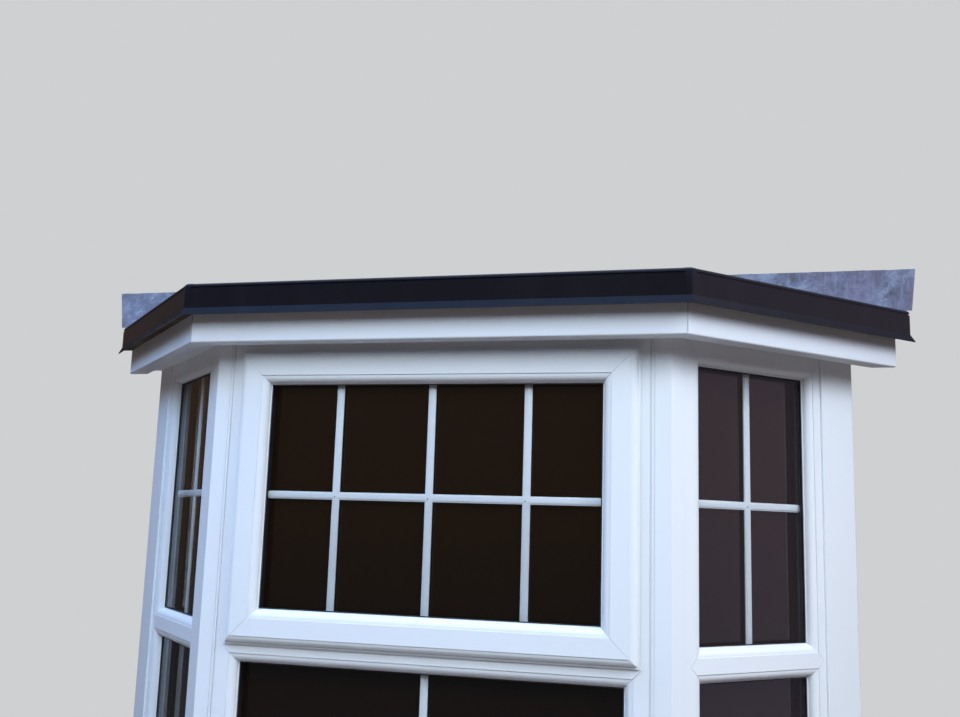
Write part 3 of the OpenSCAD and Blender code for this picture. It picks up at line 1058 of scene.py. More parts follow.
@dataclass(frozen=True)
class FloorFinish(Finish):
    """Plain pale studio floor, with a faint glow that lights nothing and keeps it even.

    Attributes:
        tones: Colours of the floor.
        glow: Light that the floor adds in plain sight alone.
    """

    tones: Stops = ((0.3, (0.61, 0.59, 0.56)), (0.7, (0.64, 0.62, 0.59)))
    glow: Colour = (0.10, 0.14, 0.17)

    def build(self) -> Material:
        """Makes the material.

        Returns:
            The material.
        """
        r = Recipe(self.name)
        return r.finish({
            "Base Color": r.ramp(r.noise(1.5), *self.tones),
            "Roughness": 0.85,
            "Emission Color": self.glow,
            "Emission Strength": r.add("ShaderNodeLightPath").outputs["Is Camera Ray"],
        })


def made_by(finish: Finish) -> Material:
    """Gives a dataclass field that holds what a finish builds."""
    return field(default_factory=finish.build)


@dataclass
class Finishes:
    """All the finishes of the part, each made once.

    Attributes:
        white: Plastic of the frames, sash, posts, cill and soffit.
        board_white: Plastic of the fascia boards.
        bar_white: Plastic of the glazing bars.
        brick: Fired clay of the bricks.
        mortar: Mortar between them.
        rubber: Gaskets, seal and sealant.
        spacer: Spacer bars and the pins of the glazing bars.
        roof: Resin of the roof.
        trim: Resin of the drip trims.
        lead: Sheet lead.
        timber_across: Timber whose fibres run along X.
        timber_back: Timber whose fibres run along Y.
        timber_upright: Timber whose fibres run upright.
        batten: Battens, coloured dark as painted shade under the drip trim.
        strand: Board of the roof's deck.
        paint: Painted boards inside.
    """

    white: Material = made_by(PlasticFinish("white_plastic"))
    board_white: Material = made_by(
        PlasticFinish("board_white", (0.80, 0.82, 0.86), dust_and_shade_share=0.25)
    )
    bar_white: Material = made_by(
        PlasticFinish("bar_white", (0.72, 0.76, 0.79), dust_and_shade_share=0.12, edge=0.6 * MM)
    )
    brick: Material = made_by(BrickFinish("fired_brick"))
    mortar: Material = made_by(MortarFinish("sandy_mortar"))
    rubber: Material = made_by(RubberFinish("gasket_rubber"))
    spacer: Material = made_by(SpacerFinish("spacer_bronze"))
    roof: Material = made_by(ResinFinish("roof_resin", gloss=0.38, strand=0.35 * MM, dust=0.2))
    trim: Material = made_by(ResinFinish("trim_resin"))
    lead: Material = made_by(LeadFinish("sheet_lead"))
    timber_across: Material = made_by(TimberFinish("timber_across"))
    timber_back: Material = made_by(TimberFinish("timber_back", Grain.ALONG_Y))
    timber_upright: Material = made_by(TimberFinish("timber_upright", Grain.UPRIGHT))
    # Dark timber colour on the drip battens: painted shade under the trim.
    batten: Material = made_by(
        TimberFinish("shaded_batten", pale=(0.15, 0.12, 0.07), dark=(0.08, 0.055, 0.035))
    )
    strand: Material = made_by(StrandBoardFinish("strand_board"))
    paint: Material = made_by(PaintFinish("board_paint"))


# ---------------------------------------------------------------- brick dwarf wall


@dataclass(frozen=True)
class Brick:
    """One brick of a course, in its facet's own drawing.

    Attributes:
        start: Its left end along the facet.
        end: Its right end.
        front: Distance of its outer face behind the wall's face.
        back: Distance of its inner face behind the wall's face.
    """

    start: float
    end: float
    front: float
    back: float


@dataclass
class DwarfWall:
    """Flemish bond brick wall under the three windows, with angled bricks at its corners.

    Attributes:
        plan: Plan of the bay.
        finishes: Finishes of the part.
        courses: Number of courses.
        joint: Width of a mortar joint.
        stretcher: Length of a brick.
        header: Width of a brick.
        long_arm: Long arm of a corner brick.
        short_arm: Short arm of a corner brick.
        recess: Depth of the mortar behind the brick faces.
        arris: Radius of the worn brick edges.
        brick_grid: Size of the faces that a brick is diced into.
        mortar_grid: Size of those faces for the mortar.
        brick_wave: Width, height and seed of the unevenness of the bricks.
        mortar_wave: Width and height of that of the mortar.
        shake: Largest shift of a brick along, inwards and up, in millimetres.
        twist: Largest turn of a brick out of level.
        tones: Shape of the spread of brick colours.
        rng: Source of the random shifts, turns and colours.
    """

    plan: BayPlan
    finishes: Finishes
    courses: int = 8
    joint: float = 11.25 * MM
    stretcher: float = 215 * MM
    header: float = 102.5 * MM
    long_arm: float = 165 * MM
    short_arm: float = 57 * MM
    recess: float = 3.5 * MM
    arris: float = 2.5 * MM
    brick_grid: tuple[float, float, float] = (24 * MM, 36 * MM, 18 * MM)
    mortar_grid: tuple[float, float, float] = (14 * MM, 0, 14 * MM)
    brick_wave: tuple[float, float, float] = (26 * MM, 1.3 * MM, 2.0)
    mortar_wave: tuple[float, float] = (18 * MM, 1.6 * MM)
    shake: tuple[float, float, float] = (1.0, 0.8, 1.0)
    twist: float = 0.006
    tones: tuple[float, float] = (1.6, 1.5)
    rng: random.Random = field(default_factory=lambda: random.Random(41))

    def __post_init__(self) -> None:
        """Reads the wall's own sizes from the frame."""
        low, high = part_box("dwarf_wall_front")
        self.height = high.z - low.z
        self.thickness = high.y - low.y
        self.out = self.plan.face_y - low.y
        self.course = self.height / self.courses

    def course_plan(self, facet: Facet, odd: bool) -> list[tuple[float, float, bool]]:
        """Lays out one course of stretchers (S), headers (H) and closers (C).

        Args:
            facet: The facet of the wall.
            odd: Whether this is one of the odd courses, with the bond shifted.

        Returns:
            Start, end and whether it goes right through the wall, for each brick but the
            corner ones.
        """
        length = self.plan.length(facet, self.out)
        if facet is Facet.FRONT:
            arm = (self.short_arm if odd else self.long_arm) + self.joint
            kinds = "SHSHS" if odd else "CSHSC"
        else:
            arm = (self.long_arm if odd else self.short_arm) + self.joint
            kinds = "CSHS" if odd else "SHSH"
        sizes = {"S": self.stretcher, "H": self.header, "C": self.header / 2}
        widths = [sizes[kind] for kind in kinds]
        if facet is Facet.FRONT:
            room = length - arm - arm
            spare = room - self.joint * (len(kinds) - 1) - sum(widths)
            closers = kinds.count("C")
            if closers:
                widths = [w + spare / closers if k == "C" else w for k, w in zip(kinds, widths)]
            else:
                widths = [w * (1 + spare / sum(widths)) for w in widths]
        course, x = [], arm
        for kind, width in zip(kinds, widths):
            course.append((x, min(x + width, length), kind == "H"))
            x += width + self.joint
        course = [c for c in course if c[1] - c[0] > self.joint]
        if facet is not Facet.FRONT and length - course[-1][1] < 2 * self.joint:
            course[-1] = (course[-1][0], length, course[-1][2])
        if facet is Facet.LEFT:
            course = [(length - b, length - a, through) for a, b, through in course]
        return course

    def bricks(self, facet: Facet, odd: bool) -> list[Brick]:
        """Turns a course's layout into bricks of one or two leaves.

        Args:
            facet: The facet of the wall.
            odd: Whether this is one of the odd courses.

        Returns:
            The bricks, with a closer in the inner leaf behind each long arm of a corner brick.
        """
        made = []
        inner = self.thickness - self.header
        for start, end, through in self.course_plan(facet, odd):
            if through:
                made.append(Brick(start, end, 0, self.thickness))
            else:
                made.append(Brick(start, end, 0, self.header))
                made.append(Brick(start, end, inner, self.thickness))
        if odd != (facet is Facet.FRONT):
            length = self.plan.length(facet, self.out)
            start, end = self.header / 4, self.long_arm
            if facet is not Facet.LEFT:
                made.append(Brick(start, end, inner, self.thickness))
            if facet is not Facet.RIGHT:
                made.append(Brick(length - end, length - start, inner, self.thickness))
        return made

    def wear(self, block: Piece) -> Piece:
        """Wears the edges of a brick and dices it, so that it can be roughened.

        Args:
            block: The sharp brick.

        Returns:
            The same brick.
        """
        Bench.ease(block, self.arris)
        Bench.dice(block, self.brick_grid)
        return block

    def mould(self, brick: Brick) -> Piece:
        """Makes one straight brick."""
        top = (brick.end, brick.back, self.course - self.joint)
        return self.wear(Bench.block("brick", (brick.start, brick.front, 0), top))

    def corner_mould(self, before: float, after: float) -> Piece:
        """Makes a corner brick, bent at the facet's corner.

        Args:
            before: Length of its arm on the facet to the left.
            after: Length of its arm on the facet to the right.

        Returns:
            The brick, with its outer corner at the origin and its left arm along -X.
        """
        top = (after, self.header, self.course - self.joint)
        block = Bench.block("corner_brick", (-before, 0, 0), top)
        Bench.cut(block, (0, 0, 0), (1, 0, 0))
        slope = math.tan(self.plan.cant / 2)
        turn = Matrix.Rotation(self.plan.cant, 4, "Z")

        def bend(place: Vector) -> Vector:
            """Shortens each arm towards its inner side and turns the right one.

            Args:
                place: A point of the straight block.

            Returns:
                How far it moves.
            """
            arm = before if place.x <= 0 else after
            share = abs(place.x) / arm
            reach = place.y * slope
            x = math.copysign(reach + share * (arm - reach), place.x if place.x else -1)
            moved = Vector((x, place.y, place.z))
            return (turn @ moved if place.x > 0 else moved) - place

        Bench.warp(block, bend)
        return self.wear(block)

    def tone(self, brick: Piece) -> None:
        """Draws the colour of a brick."""
        Bench.tag(brick, "tone", self.rng.betavariate(*self.tones))

    def lay(self, facet: Facet) -> Piece:
        """Lays all the courses of one facet, apart from its corner bricks.

        Args:
            facet: The facet.

        Returns:
            The bricks as one piece.
        """
        place = self.plan.matrix(facet, self.out)
        moulds: dict[tuple[int, ...], Piece] = {}
        laid = []
        for row in range(self.courses):
            up = row * self.course + self.joint
            for brick in self.bricks(facet, row % 2 == 1):
                length = brick.end - brick.start
                size = tuple(round(v / MM) for v in (length, brick.front, brick.back))
                if size not in moulds:
                    moulds[size] = self.mould(Brick(0, length, brick.front, brick.back))
                shake = Vector([self.rng.uniform(-s, s) for s in self.shake])
                shift = Matrix.Translation(Vector((brick.start, 0, up)) + shake * MM)
                twist = Matrix.Rotation(self.rng.uniform(-self.twist, self.twist), 4, "Y")
                twin = Bench.copy(moulds[size], place @ shift @ twist)
                self.tone(twin)
                laid.append(twin)
        Bench.drop(*moulds.values())
        wall = Bench.join(laid, f"bricks_{facet.value}")
        self.trim(wall, facet, self.joint / 2, 0)
        return wall

    def corners(self) -> Piece:
        """Lays the angled bricks at both corners.

        Returns:
            The bricks as one piece.
        """
        x, y = self.plan.corner(self.out)
        arms = (self.long_arm, self.short_arm)  # to the left and right, in every other course
        laid, moulds = [], []
        for side in (-1, 1):
            pair = [self.corner_mould(*arms[:: side * turn]) for turn in (1, -1)]
            moulds += pair
            base = Matrix.Translation((side * x, y, 0))
            if side < 0:
                base = base @ Matrix.Rotation(-self.plan.cant, 4, "Z")
            for row in range(self.courses):
                up = Matrix.Translation((0, 0, row * self.course + self.joint))
                twin = Bench.copy(pair[row % 2], base @ up)
                self.tone(twin)
                laid.append(twin)
        Bench.drop(*moulds)
        return Bench.join(laid, "bricks_corners")

    def bed(self, facet: Facet) -> Piece:
        """Makes the mortar of one facet as a block that lies just behind the brick faces.

        Args:
            facet: The facet.

        Returns:
            The mortar.
        """
        low = (-self.thickness, self.recess, 0)
        length = self.plan.length(facet, self.out) + self.thickness
        high = (length, self.thickness - self.recess, self.height)
        block = Bench.block(f"mortar_{facet.value}", low, high)
        Bench.dice(block, self.mortar_grid)
        block.data.transform(self.plan.matrix(facet, self.out))
        self.trim(block, facet, 0, self.recess)
        Bench.warp(block, lambda p: self.inside(p, ripple(p, *self.mortar_wave)))
        return block

    def trim(self, piece: Piece, facet: Facet, gap: float, back: float) -> None:
        """Cuts a facet's bricks or mortar at its mitres and at the house wall.

        Args:
            piece: The bricks or the mortar.
            facet: The facet.
            gap: Distance that the piece stays off a mitre.
            back: Distance that it stays off the house wall.
        """
        for point, normal in self.plan.mitres(facet, self.out):
            Bench.cut(piece, point - gap * normal, normal, clear=True)
        if facet is not Facet.FRONT:
            Bench.cut(piece, (0, self.plan.wall_y - back, 0), (0, 1, 0), clear=True)

    def inside(self, place: Vector, shift: Vector) -> Vector:
        """Keeps a shift off the flat top, foot and wall end of the wall.

        Args:
            place: The point that moves.
            shift: How far it is to move.

        Returns:
            How far it may move.
        """
        if place.z < MM or place.z > self.height - MM:
            shift.z = 0
        if place.y > self.plan.wall_y - MM:
            shift.y = 0
        return shift

    def build(self) -> None:
        """Makes the whole wall."""
        for facet in Facet:
            node = f"dwarf_wall_{facet.value}"
            wall = self.lay(facet)
            Bench.warp(wall, lambda p: self.inside(p, ripple(p, *self.brick_wave)))
            Bench.soften(wall, angle=50)
            Bench.hand_over(wall, self.finishes.brick, "brickwork", (node,))
            bed = self.bed(facet)
            Bench.soften(bed, angle=60)
            Bench.hand_over(bed, self.finishes.mortar, "brickwork", (node,))
        corners = self.corners()
        Bench.warp(corners, lambda p: ripple(p, *self.brick_wave))
        Bench.soften(corners, angle=50)
        Bench.hand_over(corners, self.finishes.brick, "brickwork")


# ---------------------------------------------------------------- glazing


@dataclass(frozen=True)
class Light:
    """One sealed unit as its facet shows it.

    Attributes:
        node: The unit's node in the frame.
        facet: The facet that it is in.
        uprights: Places of upright bars as distances from the middle.
        levels: Heights of level bars above the ground.
    """

    node: str
    facet: Facet
    uprights: tuple[float, ...] = ()
    levels: tuple[float, ...] = ()


@dataclass(frozen=True)
class Opening:
    """The place of a sealed unit and how much of it shows.

    Attributes:
        light: The unit.
        place: Takes the unit's own drawing, whose origin is the middle of the cavity at ground
            level, to the part's own frame.
        half: Half its visible width.
        low: Its lowest visible level.
        high: Its highest visible level.
        depth: Distance from the middle of the cavity to each outer face of the unit.
    """

    light: Light
    place: Matrix
    half: float
    low: float
    high: float
    depth: float


@dataclass
class Glazing:
    """Glass, the white bars inside its cavity, and its gaskets.

    Attributes:
        plan: Plan of the bay.
        finishes: Finishes of the part.
        cover: Distance that a unit runs behind the sight line.
        bar_width: Width of a bar.
        bar_depth: Depth of a bar.
        bar_edge: Width of the slant along its edges.
        rib_width: Width of the raised middle of a bar.
        rib_depth: Depth of a bar at its raised middle.
        bar_long: Distance that a bar runs on behind the sight line.
        pin_shift: Shift of each pin from the middle of its crossing.
        pin_radius: Radius of a pin.
        pin_length: Length of a pin.
        pin_edge: Width of the slant round a pin.
        gasket_show: Width of the gasket seen on the glass.
        gasket_rise: Distance that the gasket stands off the glass.
        gasket_edge: Radius of its edges.
        lights: The sealed units.
    """

    plan: BayPlan
    finishes: Finishes
    cover: float = 14 * MM
    bar_width: float = 16.8 * MM
    bar_depth: float = 4.0 * MM
    bar_edge: float = 0.9 * MM
    rib_width: float = 11.4 * MM
    rib_depth: float = 6.6 * MM
    bar_long: float = 1.2 * MM
    pin_shift: Point = (-2 * MM, -2 * MM)
    pin_radius: float = 1.5 * MM
    pin_length: float = 1.0 * MM
    pin_edge: float = 0.2 * MM
    gasket_show: float = 2.6 * MM
    gasket_rise: float = 2.2 * MM
    gasket_edge: float = 0.6 * MM
    lights: tuple[Light, ...] = (
        Light("sash_glass", Facet.FRONT, (-0.212, 0.0, 0.212), (1.706,)),
        Light("front_lower_glass", Facet.FRONT, (0.0,)),
        Light("left_upper_glass", Facet.LEFT, (0.0,), (1.710,)),
        Light("left_lower_glass", Facet.LEFT),
        Light("right_upper_glass", Facet.RIGHT, (0.0,), (1.710,)),
        Light("right_lower_glass", Facet.RIGHT),
    )

    def opening(self, light: Light) -> Opening:
        """Finds a unit's place on its facet.

        Args:
            light: The unit.

        Returns:
            Its place and visible size.
        """
        low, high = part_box(light.node)
        middle = (low + high) / 2
        turn = self.plan.matrix(light.facet, 0).to_3x3()
        points = [v.co for v in frame["nodes"][light.node].data.vertices]
        xs, ys = ([p.dot(axis) for p in points] for axis in (turn.col[0], turn.col[1]))
        place = turn.to_4x4()
        place.translation = Vector((middle.x, middle.y, 0))
        half = (max(xs) - min(xs)) / 2 - self.cover
        depth = (max(ys) - min(ys)) / 2
        return Opening(light, place, half, low.z + self.cover, high.z - self.cover, depth)

    def dress_glass(self, opening: Opening) -> None:
        """Gives a unit's two panes their finish.

        Args:
            opening: The unit's opening.
        """
        light = opening.light
        inwards = opening.place.to_3x3().col[1]
        middle = inwards.dot(opening.place.translation)
        finish = GlassFinish(f"glass_{light.facet.value}_{light.node}", inwards, middle)
        materials = frame["nodes"][light.node].data.materials
        materials.clear()
        materials.append(finish.build())

    def lattice(self, opening: Opening, width: float, depth: float) -> Piece:
        """Makes one layer of a unit's bars in the unit's own drawing.

        Args:
            opening: The unit's opening.
            width: Width of the strips.
            depth: Thickness of the layer.

        Returns:
            The layer, with slanted edges.
        """
        light, w = opening.light, width / 2
        half = opening.half + self.bar_long
        low, high = opening.low - self.bar_long, opening.high + self.bar_long
        strips = [((x - w, low), (x + w, high)) for x in light.uprights]
        strips += [((-half, z - w), (half, z + w)) for z in light.levels]
        Bench.clear()
        bpy.ops.mesh.primitive_plane_add(size=1)
        sheet = Bench.named("lattice")
        rows = ((2 * half, 0, 0, 0), (0, 0, 1, 0), (0, high - low, 0, (low + high) / 2))
        sheet.data.transform(Matrix((*rows, (0, 0, 0, 1))))
        for middles, axis in ((light.uprights, (1, 0, 0)), (light.levels, (0, 0, 1))):
            for middle in middles:
                for edge in (middle - w, middle + w):
                    Bench.cut(sheet, edge * Vector(axis), axis)

        def open_pane(face: bpy.types.MeshPolygon) -> bool:
            """Tells whether the middle of a face lies on none of the strips."""
            x, _, z = face.center
            return not any(a[0] < x < b[0] and a[1] < z < b[1] for a, b in strips)

        Bench.choose(sheet, open_pane)
        with Bench.editing(sheet, whole=False):
            bpy.ops.mesh.delete(type="FACE")
        Bench.outwards(sheet)
        Bench.apply(sheet, "SOLIDIFY", thickness=depth, offset=0)
        Bench.ease(sheet, self.bar_edge)
        return sheet

    def bars(self, opening: Opening) -> Piece:
        """Makes a unit's bars: thin lips along both edges and a raised middle.

        Args:
            opening: The unit's opening.

        Returns:
            The bars.
        """
        lips = self.lattice(opening, self.bar_width, self.bar_depth)
        rib = self.lattice(opening, self.rib_width, self.rib_depth)
        whole = Bench.join([lips, rib], opening.light.node.replace("glass", "bars"))
        whole.data.transform(opening.place)
        Bench.soften(whole, angle=30)
        return whole

    def pins(self, opening: Opening) -> list[Piece]:
        """Makes the small dark pins where the bars cross.

        Args:
            opening: The unit's opening.

        Returns:
            The pins.
        """
        made = []
        across, up = self.pin_shift
        for x in opening.light.uprights:
            for z in opening.light.levels:
                Bench.clear()
                bpy.ops.mesh.primitive_cylinder_add(
                    vertices=16, radius=self.pin_radius, depth=self.pin_length
                )
                pin = Bench.named("pin")
                pin.data.transform(Matrix.Rotation(math.pi / 2, 4, "X"))
                Bench.ease(pin, self.pin_edge, segments=1)
                shift = Matrix.Translation((x + across, -self.rib_depth / 2, z + up))
                pin.data.transform(opening.place @ shift)
                made.append(pin)
        return made

    def gaskets(self, opening: Opening) -> Piece:
        """Makes the rubber line round both faces of a unit.

        Args:
            opening: The unit's opening.

        Returns:
            Both lines as one piece.
        """
        half, rings = opening.half, []
        for side in (-1, 1):
            face = side * opening.depth
            near, far = sorted((face, face + side * self.gasket_rise))
            ring = Bench.block("ring", (-half, near, opening.low), (half, far, opening.high))
            Bench.choose(ring, lambda face: abs(face.normal.y) > 0.5)
            with Bench.editing(ring, whole=False):
                bpy.ops.mesh.inset(thickness=self.gasket_show)
                bpy.ops.mesh.bridge_edge_loops()
            Bench.outwards(ring)
            Bench.ease(ring, self.gasket_edge)
            ring.data.transform(opening.place)
            rings.append(ring)
        whole = Bench.join(rings, opening.light.node.replace("glass", "gasket"))
        Bench.soften(whole, angle=35)
        return whole

    def build(self) -> None:
        """Makes all the bars and gaskets and dresses the glass."""
        pins = []
        for opening in map(self.opening, self.lights):
            self.dress_glass(opening)
            if opening.light.uprights:
                Bench.hand_over(self.bars(opening), self.finishes.bar_white, "white_plastic")
            pins += self.pins(opening)
            Bench.hand_over(self.gaskets(opening), self.finishes.rubber, "rubber")
        Bench.hand_over(Bench.join(pins, "bar_pins"), self.finishes.spacer, "spacer_metal")


# ---------------------------------------------------------------- lead


@dataclass
class LeadFlashing:
    """Two lapped sheets of dressed lead between the house wall and the roof.

    Attributes:
        plan: Plan of the bay.
        finishes: Finishes of the part.
        lap: Width of the lap between the two sheets.
        thickness: Thickness of the sheet.
        lift: Distance that the lower sheet lies off the surfaces below it.
        lapped: Height of the upper sheet above the lower one, in thicknesses.
        wave: Height of the dents left by dressing it.
        dents: Dents per metre along the wall and up it, and shift of their pattern with the lift.
        foot_dent: Share of the dents that is left in the foot.
        ragged: Height of the waves along its edges.
        ragged_waves: Waves per metre along its edges and place in their pattern.
        fold: Radius of the fold at the foot.
        column: Width of one column of its grid.
        rows: Rows of its grid.
        rim: Width of the drip trim's rim, which the sheet is dressed over.
        climb: Width over which it climbs that rim.
        clear: Gap between the end of its foot and the rim.
        least: Smallest reach of its foot.
        end: Width of each end that leans.
        lean: Distance that the end's foot leans in and its top leans out, in millimetres.
    """

    plan: BayPlan
    finishes: Finishes
    lap: float = 100 * MM
    thickness: float = 2.0 * MM
    lift: float = 0.3 * MM
    lapped: float = 1.3
    wave: float = 1.4 * MM
    dents: tuple[float, float, float] = (14, 22, 900)
    foot_dent: float = 0.6
    ragged: float = 1.2 * MM
    ragged_waves: Point = (31, 5)
    fold: float = 9 * MM
    column: float = 10 * MM
    rows: int = 20
    rim: float = 26 * MM
    climb: float = 6 * MM
    clear: float = 4 * MM
    least: float = 2 * MM
    end: float = 70 * MM
    lean: float = 5.0

    def sheet(self, start: float, stop: float, raised: float) -> Piece:
        """Makes one sheet, with its upright leg on the wall and its foot on the roof.

        Args:
            start: Left end.
            stop: Right end.
            raised: Distance that it lies off the surfaces below it.

        Returns:
            The sheet.
        """
        low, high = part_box("lead_flashing")
        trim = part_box("drip_trim_right")[1]
        outer = trim.x - self.rim
        rise, foot = high.z - low.z, high.y - low.y
        wall = self.plan.wall_y - self.thickness / 2 - raised
        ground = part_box("roof_skin")[1].z + self.thickness / 2 + raised
        columns = round((stop - start) / self.column)
        Bench.clear()
        bpy.ops.mesh.primitive_grid_add(x_subdivisions=columns, y_subdivisions=self.rows, size=1)
        leaf = Bench.named("lead_sheet")
        (per_x, per_run, per_lift), (per_edge, pattern) = self.dents, self.ragged_waves

        def drape(flat: Vector) -> Vector:
            """Folds the flat grid against the wall and out over the roof.

            Args:
                flat: A point of the grid.

            Returns:
                How far it moves.
            """
            x = start + (flat.x + 0.5) * (stop - start)
            over = min(1.0, max(0.0, abs(x) - outer) / self.climb)
            base = ground + over * (trim.z - ground)
            reach = min(foot, max(self.least, outer - self.clear - abs(x)))
            run = (flat.y + 0.5) * (rise + foot)
            near_end = max(0.0, 1 - (abs(high.x) - abs(x)) / self.end) ** 2
            slant = -self.lean + 2 * self.lean * max(0.0, run - foot) / rise
            x += math.copysign(near_end, x) * slant * MM
            spot = Vector((x * per_x, run * per_run, raised * per_lift))
            dent = self.wave * noise.noise(spot)
            edge = self.ragged * noise.noise(Vector((x * per_edge, 0, pattern)))
            if run > foot:
                z = base + (high.z - base) * (run - foot) / rise + edge * (run - foot) / rise
                slack = max(0.0, self.fold - (z - base)) / self.fold
                y = wall - abs(dent) - slack * slack * self.fold / 2
            else:
                y = wall - reach * (1 - run / foot) + edge * reach / foot
                z = base + abs(dent) * self.foot_dent
            return Vector((x, min(y, wall), z)) - flat

        Bench.warp(leaf, drape)
        Bench.apply(leaf, "SOLIDIFY", thickness=self.thickness, offset=0)
        Bench.soften(leaf, angle=50)
        return leaf

    def build(self) -> None:
        """Makes both sheets as one piece."""
        low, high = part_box("lead_flashing")
        left = self.sheet(low.x, self.lap / 2, self.lift)
        upper = self.lift + self.thickness * self.lapped
        right = self.sheet(-self.lap / 2, high.x, upper)
        whole = Bench.join([left, right], "lead_sheets")
        Bench.hand_over(whole, self.finishes.lead, "lead", ("lead_flashing",))


# ---------------------------------------------------------------- eaves


@dataclass
class EavesCorners:
    """Caps over the mitres of the drip trim and sealant in the mitres of the fascia.

    Attributes:
        finishes: Finishes of the part.
        plan: Plan of the bay.
        face_out: Distance of the drip trim's face outside the fascia.
        arm: Length of a cap on each facet.
        proud: Distance that a cap stands outside the trim.
        lip: Height of the trim's flared lip.
        rim: Radius of the trim's round rim.
        outer_turns: Directions of the cap's outer points from the middle of that rim, in degrees
            above the level.
        inner_turns: Directions of its inner points.
        seam: Width of the sealant line.
        seam_proud: Distance that the sealant stands out of the fascia.
        seam_foot: Distance of its lower end above the fascia's foot.
        seam_top: Distance of its upper end below the trim's top.
    """

    finishes: Finishes
    plan: BayPlan
    face_out: float = 23 * MM
    arm: float = 13 * MM
    proud: float = 0.5 * MM
    lip: float = 17 * MM
    rim: float = 8.4 * MM
    outer_turns: tuple[float, ...] = (75, 60, 45, 30, 0)
    inner_turns: tuple[float, ...] = (0, 15, 45, 60, 75, 90)
    seam: float = 0.9 * MM
    seam_proud: float = 0.35 * MM
    seam_foot: float = 4 * MM
    seam_top: float = 50 * MM

    def __post_init__(self) -> None:
        """Takes the fascia's own plan from its box."""
        low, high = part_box("fascia_front")
        self.fascia = BayPlan(high.x, low.y, self.plan.wall_y)
        self.fascia_foot = low.z

    def sweep(self, name: str, section: Sequence[Point], arm: float) -> Piece:
        """Bends a section round the right-hand corner.

        Args:
            name: Name of the new object.
            section: Closed outline as distances outside the fascia and heights.
            arm: Length on each side of the corner.

        Returns:
            The piece, closed at both ends.
        """
        count = len(section)
        Bench.clear()
        bpy.ops.mesh.primitive_cylinder_add(vertices=count, radius=1, depth=2)
        piece = Bench.named(name)
        Bench.cut(piece, (0, 0, 0), (0, 0, 1))
        c, s = math.cos(self.plan.cant), math.sin(self.plan.cant)
        steps = ((-arm, 0.0), (0.0, 0.0), (arm * c, arm * s))

        def place(point: Vector) -> Vector:
            """Takes the plain prism to the section and round the corner.

            Args:
                point: A point of the prism, whose first edge is at +Y and the next one clockwise.

            Returns:
                How far it moves.
            """
            turn = math.atan2(point.x, point.y) / (2 * math.pi)
            out, height = section[round(turn * count) % count]
            x, y = self.fascia.corner(out)
            along, back = steps[round(point.z) + 1]
            return Vector((x + along, y + back, height)) - point

        Bench.warp(piece, place)
        Bench.outwards(piece)
        return piece

    def pair(self, name: str, section: Sequence[Point], arm: float) -> Piece:
        """Makes a piece for both corners, mirrored from right to left.

        Args:
            name: Name of the piece.
            section: Closed outline as distances outside the fascia and heights.
            arm: Length on each side of a corner.

        Returns:
            The piece.
        """
        master = self.sweep(name, section, arm)
        twin = Bench.copy(master, Matrix.Diagonal((-1, 1, 1, 1)))
        Bench.outwards(twin)
        return Bench.join([twin, master], name)

    def rounding(self, radius: float, turns: Sequence[float], top: float) -> list[Point]:
        """Draws points on a circle about the middle of the trim's round rim.

        Args:
            radius: Its radius.
            turns: Directions of the points, in degrees above the level.
            top: Height of the trim's top.

        Returns:
            The points, as distances outside the fascia and heights.
        """
        points = []
        for turn in map(math.radians, turns):
            out = self.face_out + radius * math.cos(turn) - self.rim
            points.append((out, top + radius * math.sin(turn) - self.rim))
        return points

    def build(self) -> None:
        """Makes the caps and the sealant lines."""
        low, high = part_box("drip_trim_front")
        face, t = self.face_out, self.proud
        lip_out = self.fascia.face_y - low.y
        bend = low.z + self.lip
        section = [
            *self.rounding(self.rim + t, self.outer_turns, high.z),
            (face + t, bend),
            (lip_out + t, low.z - t / 2),
            (face - t, bend),
            *self.rounding(self.rim - t, self.inner_turns, high.z),
        ]
        caps = self.pair("trim_corners", section, self.arm)
        Bench.soften(caps, angle=20)
        Bench.hand_over(caps, self.finishes.trim, "roof_resin")
        half, proud = self.seam / 2, self.seam_proud
        foot, top = self.fascia_foot + self.seam_foot, high.z - self.seam_top
        line = [(-half, foot), (-half, top), (proud, top), (proud, foot)]
        seams = self.pair("fascia_seams", line, half)
        Bench.soften(seams, angle=35)
        Bench.hand_over(seams, self.finishes.rubber, "rubber")


# ---------------------------------------------------------------- carried-over solids


@dataclass
class Joinery:
    """Finishes for the solids that stay as the frame has them.

    Attributes:
        finishes: Finishes of the part.
    """

    finishes: Finishes

    def dress(self) -> None:
        """Gives every node but the glass its finish."""
        by_slot = {
            "white_plastic": self.finishes.white,
            "rubber": self.finishes.rubber,
            "spacer_metal": self.finishes.spacer,
            "deck_board": self.finishes.strand,
            "painted_board": self.finishes.paint,
            "roof_resin": self.finishes.trim,
            "timber": self.finishes.timber_across,
            "lead": self.finishes.lead,
            "brickwork": self.finishes.brick,
        }
        special = {
            **{f"fascia_{facet.value}": self.finishes.board_white for facet in Facet},
            "roof_skin": self.finishes.roof,
            "roof_joists": self.finishes.timber_back,
            "drip_battens": self.finishes.batten,
            "wall_jamb_posts": self.finishes.timber_upright,
        }
        for part in frame["record"]["subparts"]:
            node, slot = part["node"], part["material_slot"]
            if slot == "glass":
                continue
            materials = frame["nodes"][node].data.materials
            materials.clear()
            materials.append(special.get(node, by_slot[slot]))
            log.info("%s dressed as %s", node, slot)


# ---------------------------------------------------------------- studio


